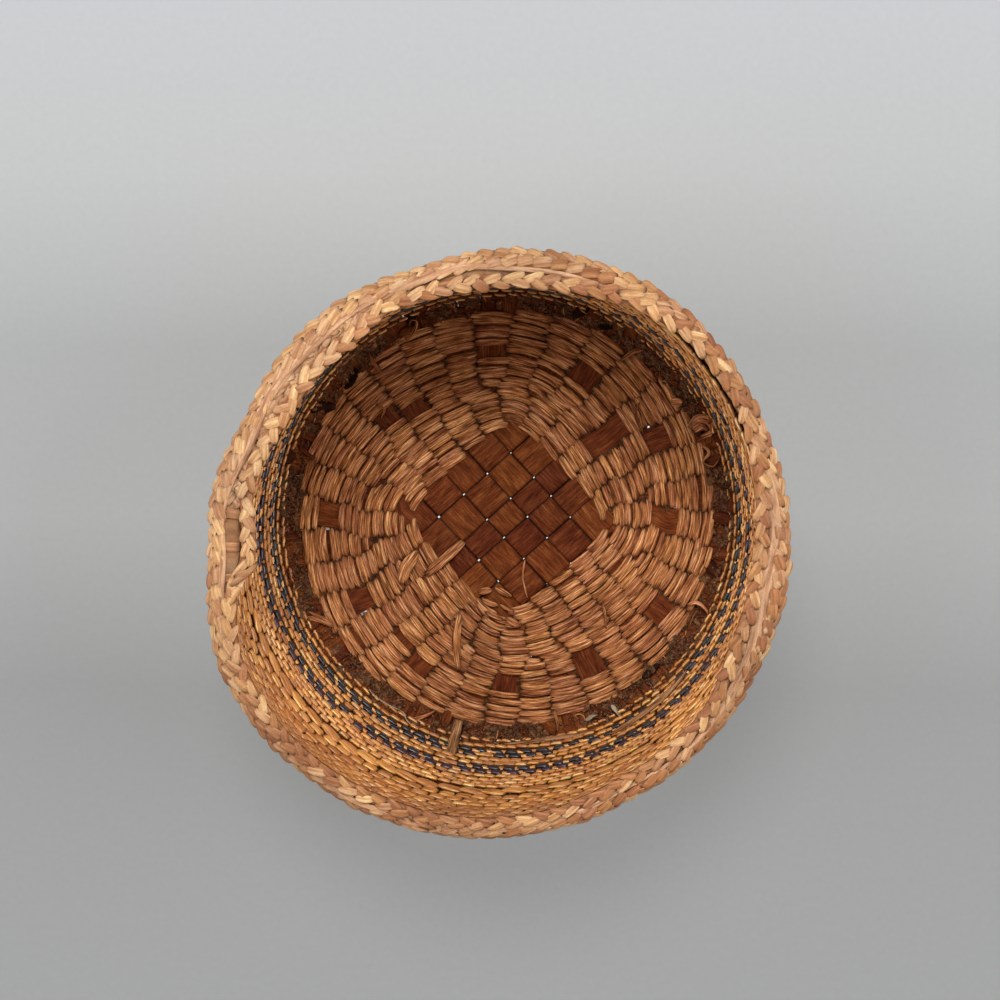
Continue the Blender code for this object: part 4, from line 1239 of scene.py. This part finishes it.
def addFloor():
    mesh = bpy.data.meshes.new("floor")
    half = studio["floorSize"] / 2
    mesh.from_pydata([(-half, -half, 0), (half, -half, 0), (half, half, 0), (-half, half, 0)], [],
                     [(0, 1, 2, 3)])
    material, tree, shader = newMaterial("floorPaper")
    where = addNode(tree, "ShaderNodeTexCoord").outputs["Object"]
    part = addNode(tree, "ShaderNodeSeparateXYZ", {0: where}).outputs["Y"]
    # painted light: the paper is darker at the front and lighter towards the back
    first, last = studio["paintedPaperLight"][0][0], studio["paintedPaperLight"][-1][0]
    shade = rampOf(tree, rangeOf(tree, part, first * mm, last * mm), [
        ((place - first) / (last - first), colour(*tint)) for place, tint in studio["paintedPaperLight"]])
    speckle = addNode(tree, "ShaderNodeTexNoise", {
        "Vector": where, "Scale": studio["speckScale"], "Detail": 2.0}).outputs[0]
    speckled = rangeOf(tree, speckle, 0.0, 1.0, *studio["speckRange"])
    shade = addNode(tree, "ShaderNodeHueSaturation", {"Value": speckled, "Color": shade}).outputs[0]
    tree.links.new(shade, shader.inputs["Base Color"])
    shader.inputs["Roughness"].default_value = studio["floorRough"]
    # painted light: the paper under the base glows white though no lamp lights it, so the weave's small holes
    # look white
    away = addNode(tree, "ShaderNodeVectorMath", {0: where}, operation="LENGTH").outputs["Value"]
    paintedGlowSpot = mathOf(tree, "LESS_THAN", away, studio["paintedGlowRadius"] * mm)
    paintedGlowColour = addNode(tree, "ShaderNodeMix", {0: paintedGlowSpot, 6: shade, 7: (1.0, 1.0, 1.0, 1.0)},
                  data_type="RGBA").outputs[2]
    glow = addNode(tree, "ShaderNodeEmission", {
        "Color": paintedGlowColour, "Strength": rangeOf(tree, paintedGlowSpot, 0.0, 1.0, 1.0, studio["paintedGlowStrength"])})
    rays = addNode(tree, "ShaderNodeLightPath").outputs
    seen = mathOf(tree, "MAXIMUM", rays["Is Camera Ray"], rays["Is Glossy Ray"])
    seen = mathOf(tree, "MAXIMUM", seen, rays["Is Transmission Ray"])
    seen = mathOf(tree, "MULTIPLY", seen, studio["floorGlow"])
    mixed = addNode(tree, "ShaderNodeMixShader", {0: seen, 1: shader.outputs[0], 2: glow.outputs[0]})
    tree.links.new(mixed.outputs[0], tree.nodes["Material Output"].inputs["Surface"])
    mesh.materials.append(material)
    placed("floor", mesh)


def addLamps():
    world = bpy.data.worlds.new("studio")
    world.use_nodes = True
    world.node_tree.nodes["Background"].inputs["Color"].default_value = (1, 1, 1, 1)
    world.node_tree.nodes["Background"].inputs["Strength"].default_value = studio["skyLevel"]
    bpy.context.scene.world = world
    for name, (power, tilt, turn, size) in studio["lamps"].items():
        lamp = bpy.data.lights.new(name, "SUN")
        lamp.energy = power
        lamp.angle = math.radians(size)
        tilt, turn = math.radians(tilt), math.radians(turn)
        source = Vector((math.sin(turn) * math.sin(tilt), math.cos(turn) * math.sin(tilt), math.cos(tilt)))
        placed(name, lamp).rotation_euler = source.to_track_quat("Z", "Y").to_euler()


def addCamera():
    place = Vector(photo["place"]) * mm
    back = (place - Vector(photo["aim"]) * mm).normalized()
    right = Vector((0, 1, 0)).cross(back).normalized()
    up = back.cross(right)
    data = bpy.data.cameras.new("camera")
    data.lens = photo["lens"]
    data.clip_start = 0.01
    camera = placed("camera", data)
    turned = Matrix((right, up, back)).transposed().to_4x4()
    camera.matrix_world = Matrix.Translation(place) @ turned
    bpy.context.scene.camera = camera


addFloor()
addLamps()
addCamera()
bpy.context.scene.view_settings.view_transform = "Standard"
print("stage: floor, lamps and camera")
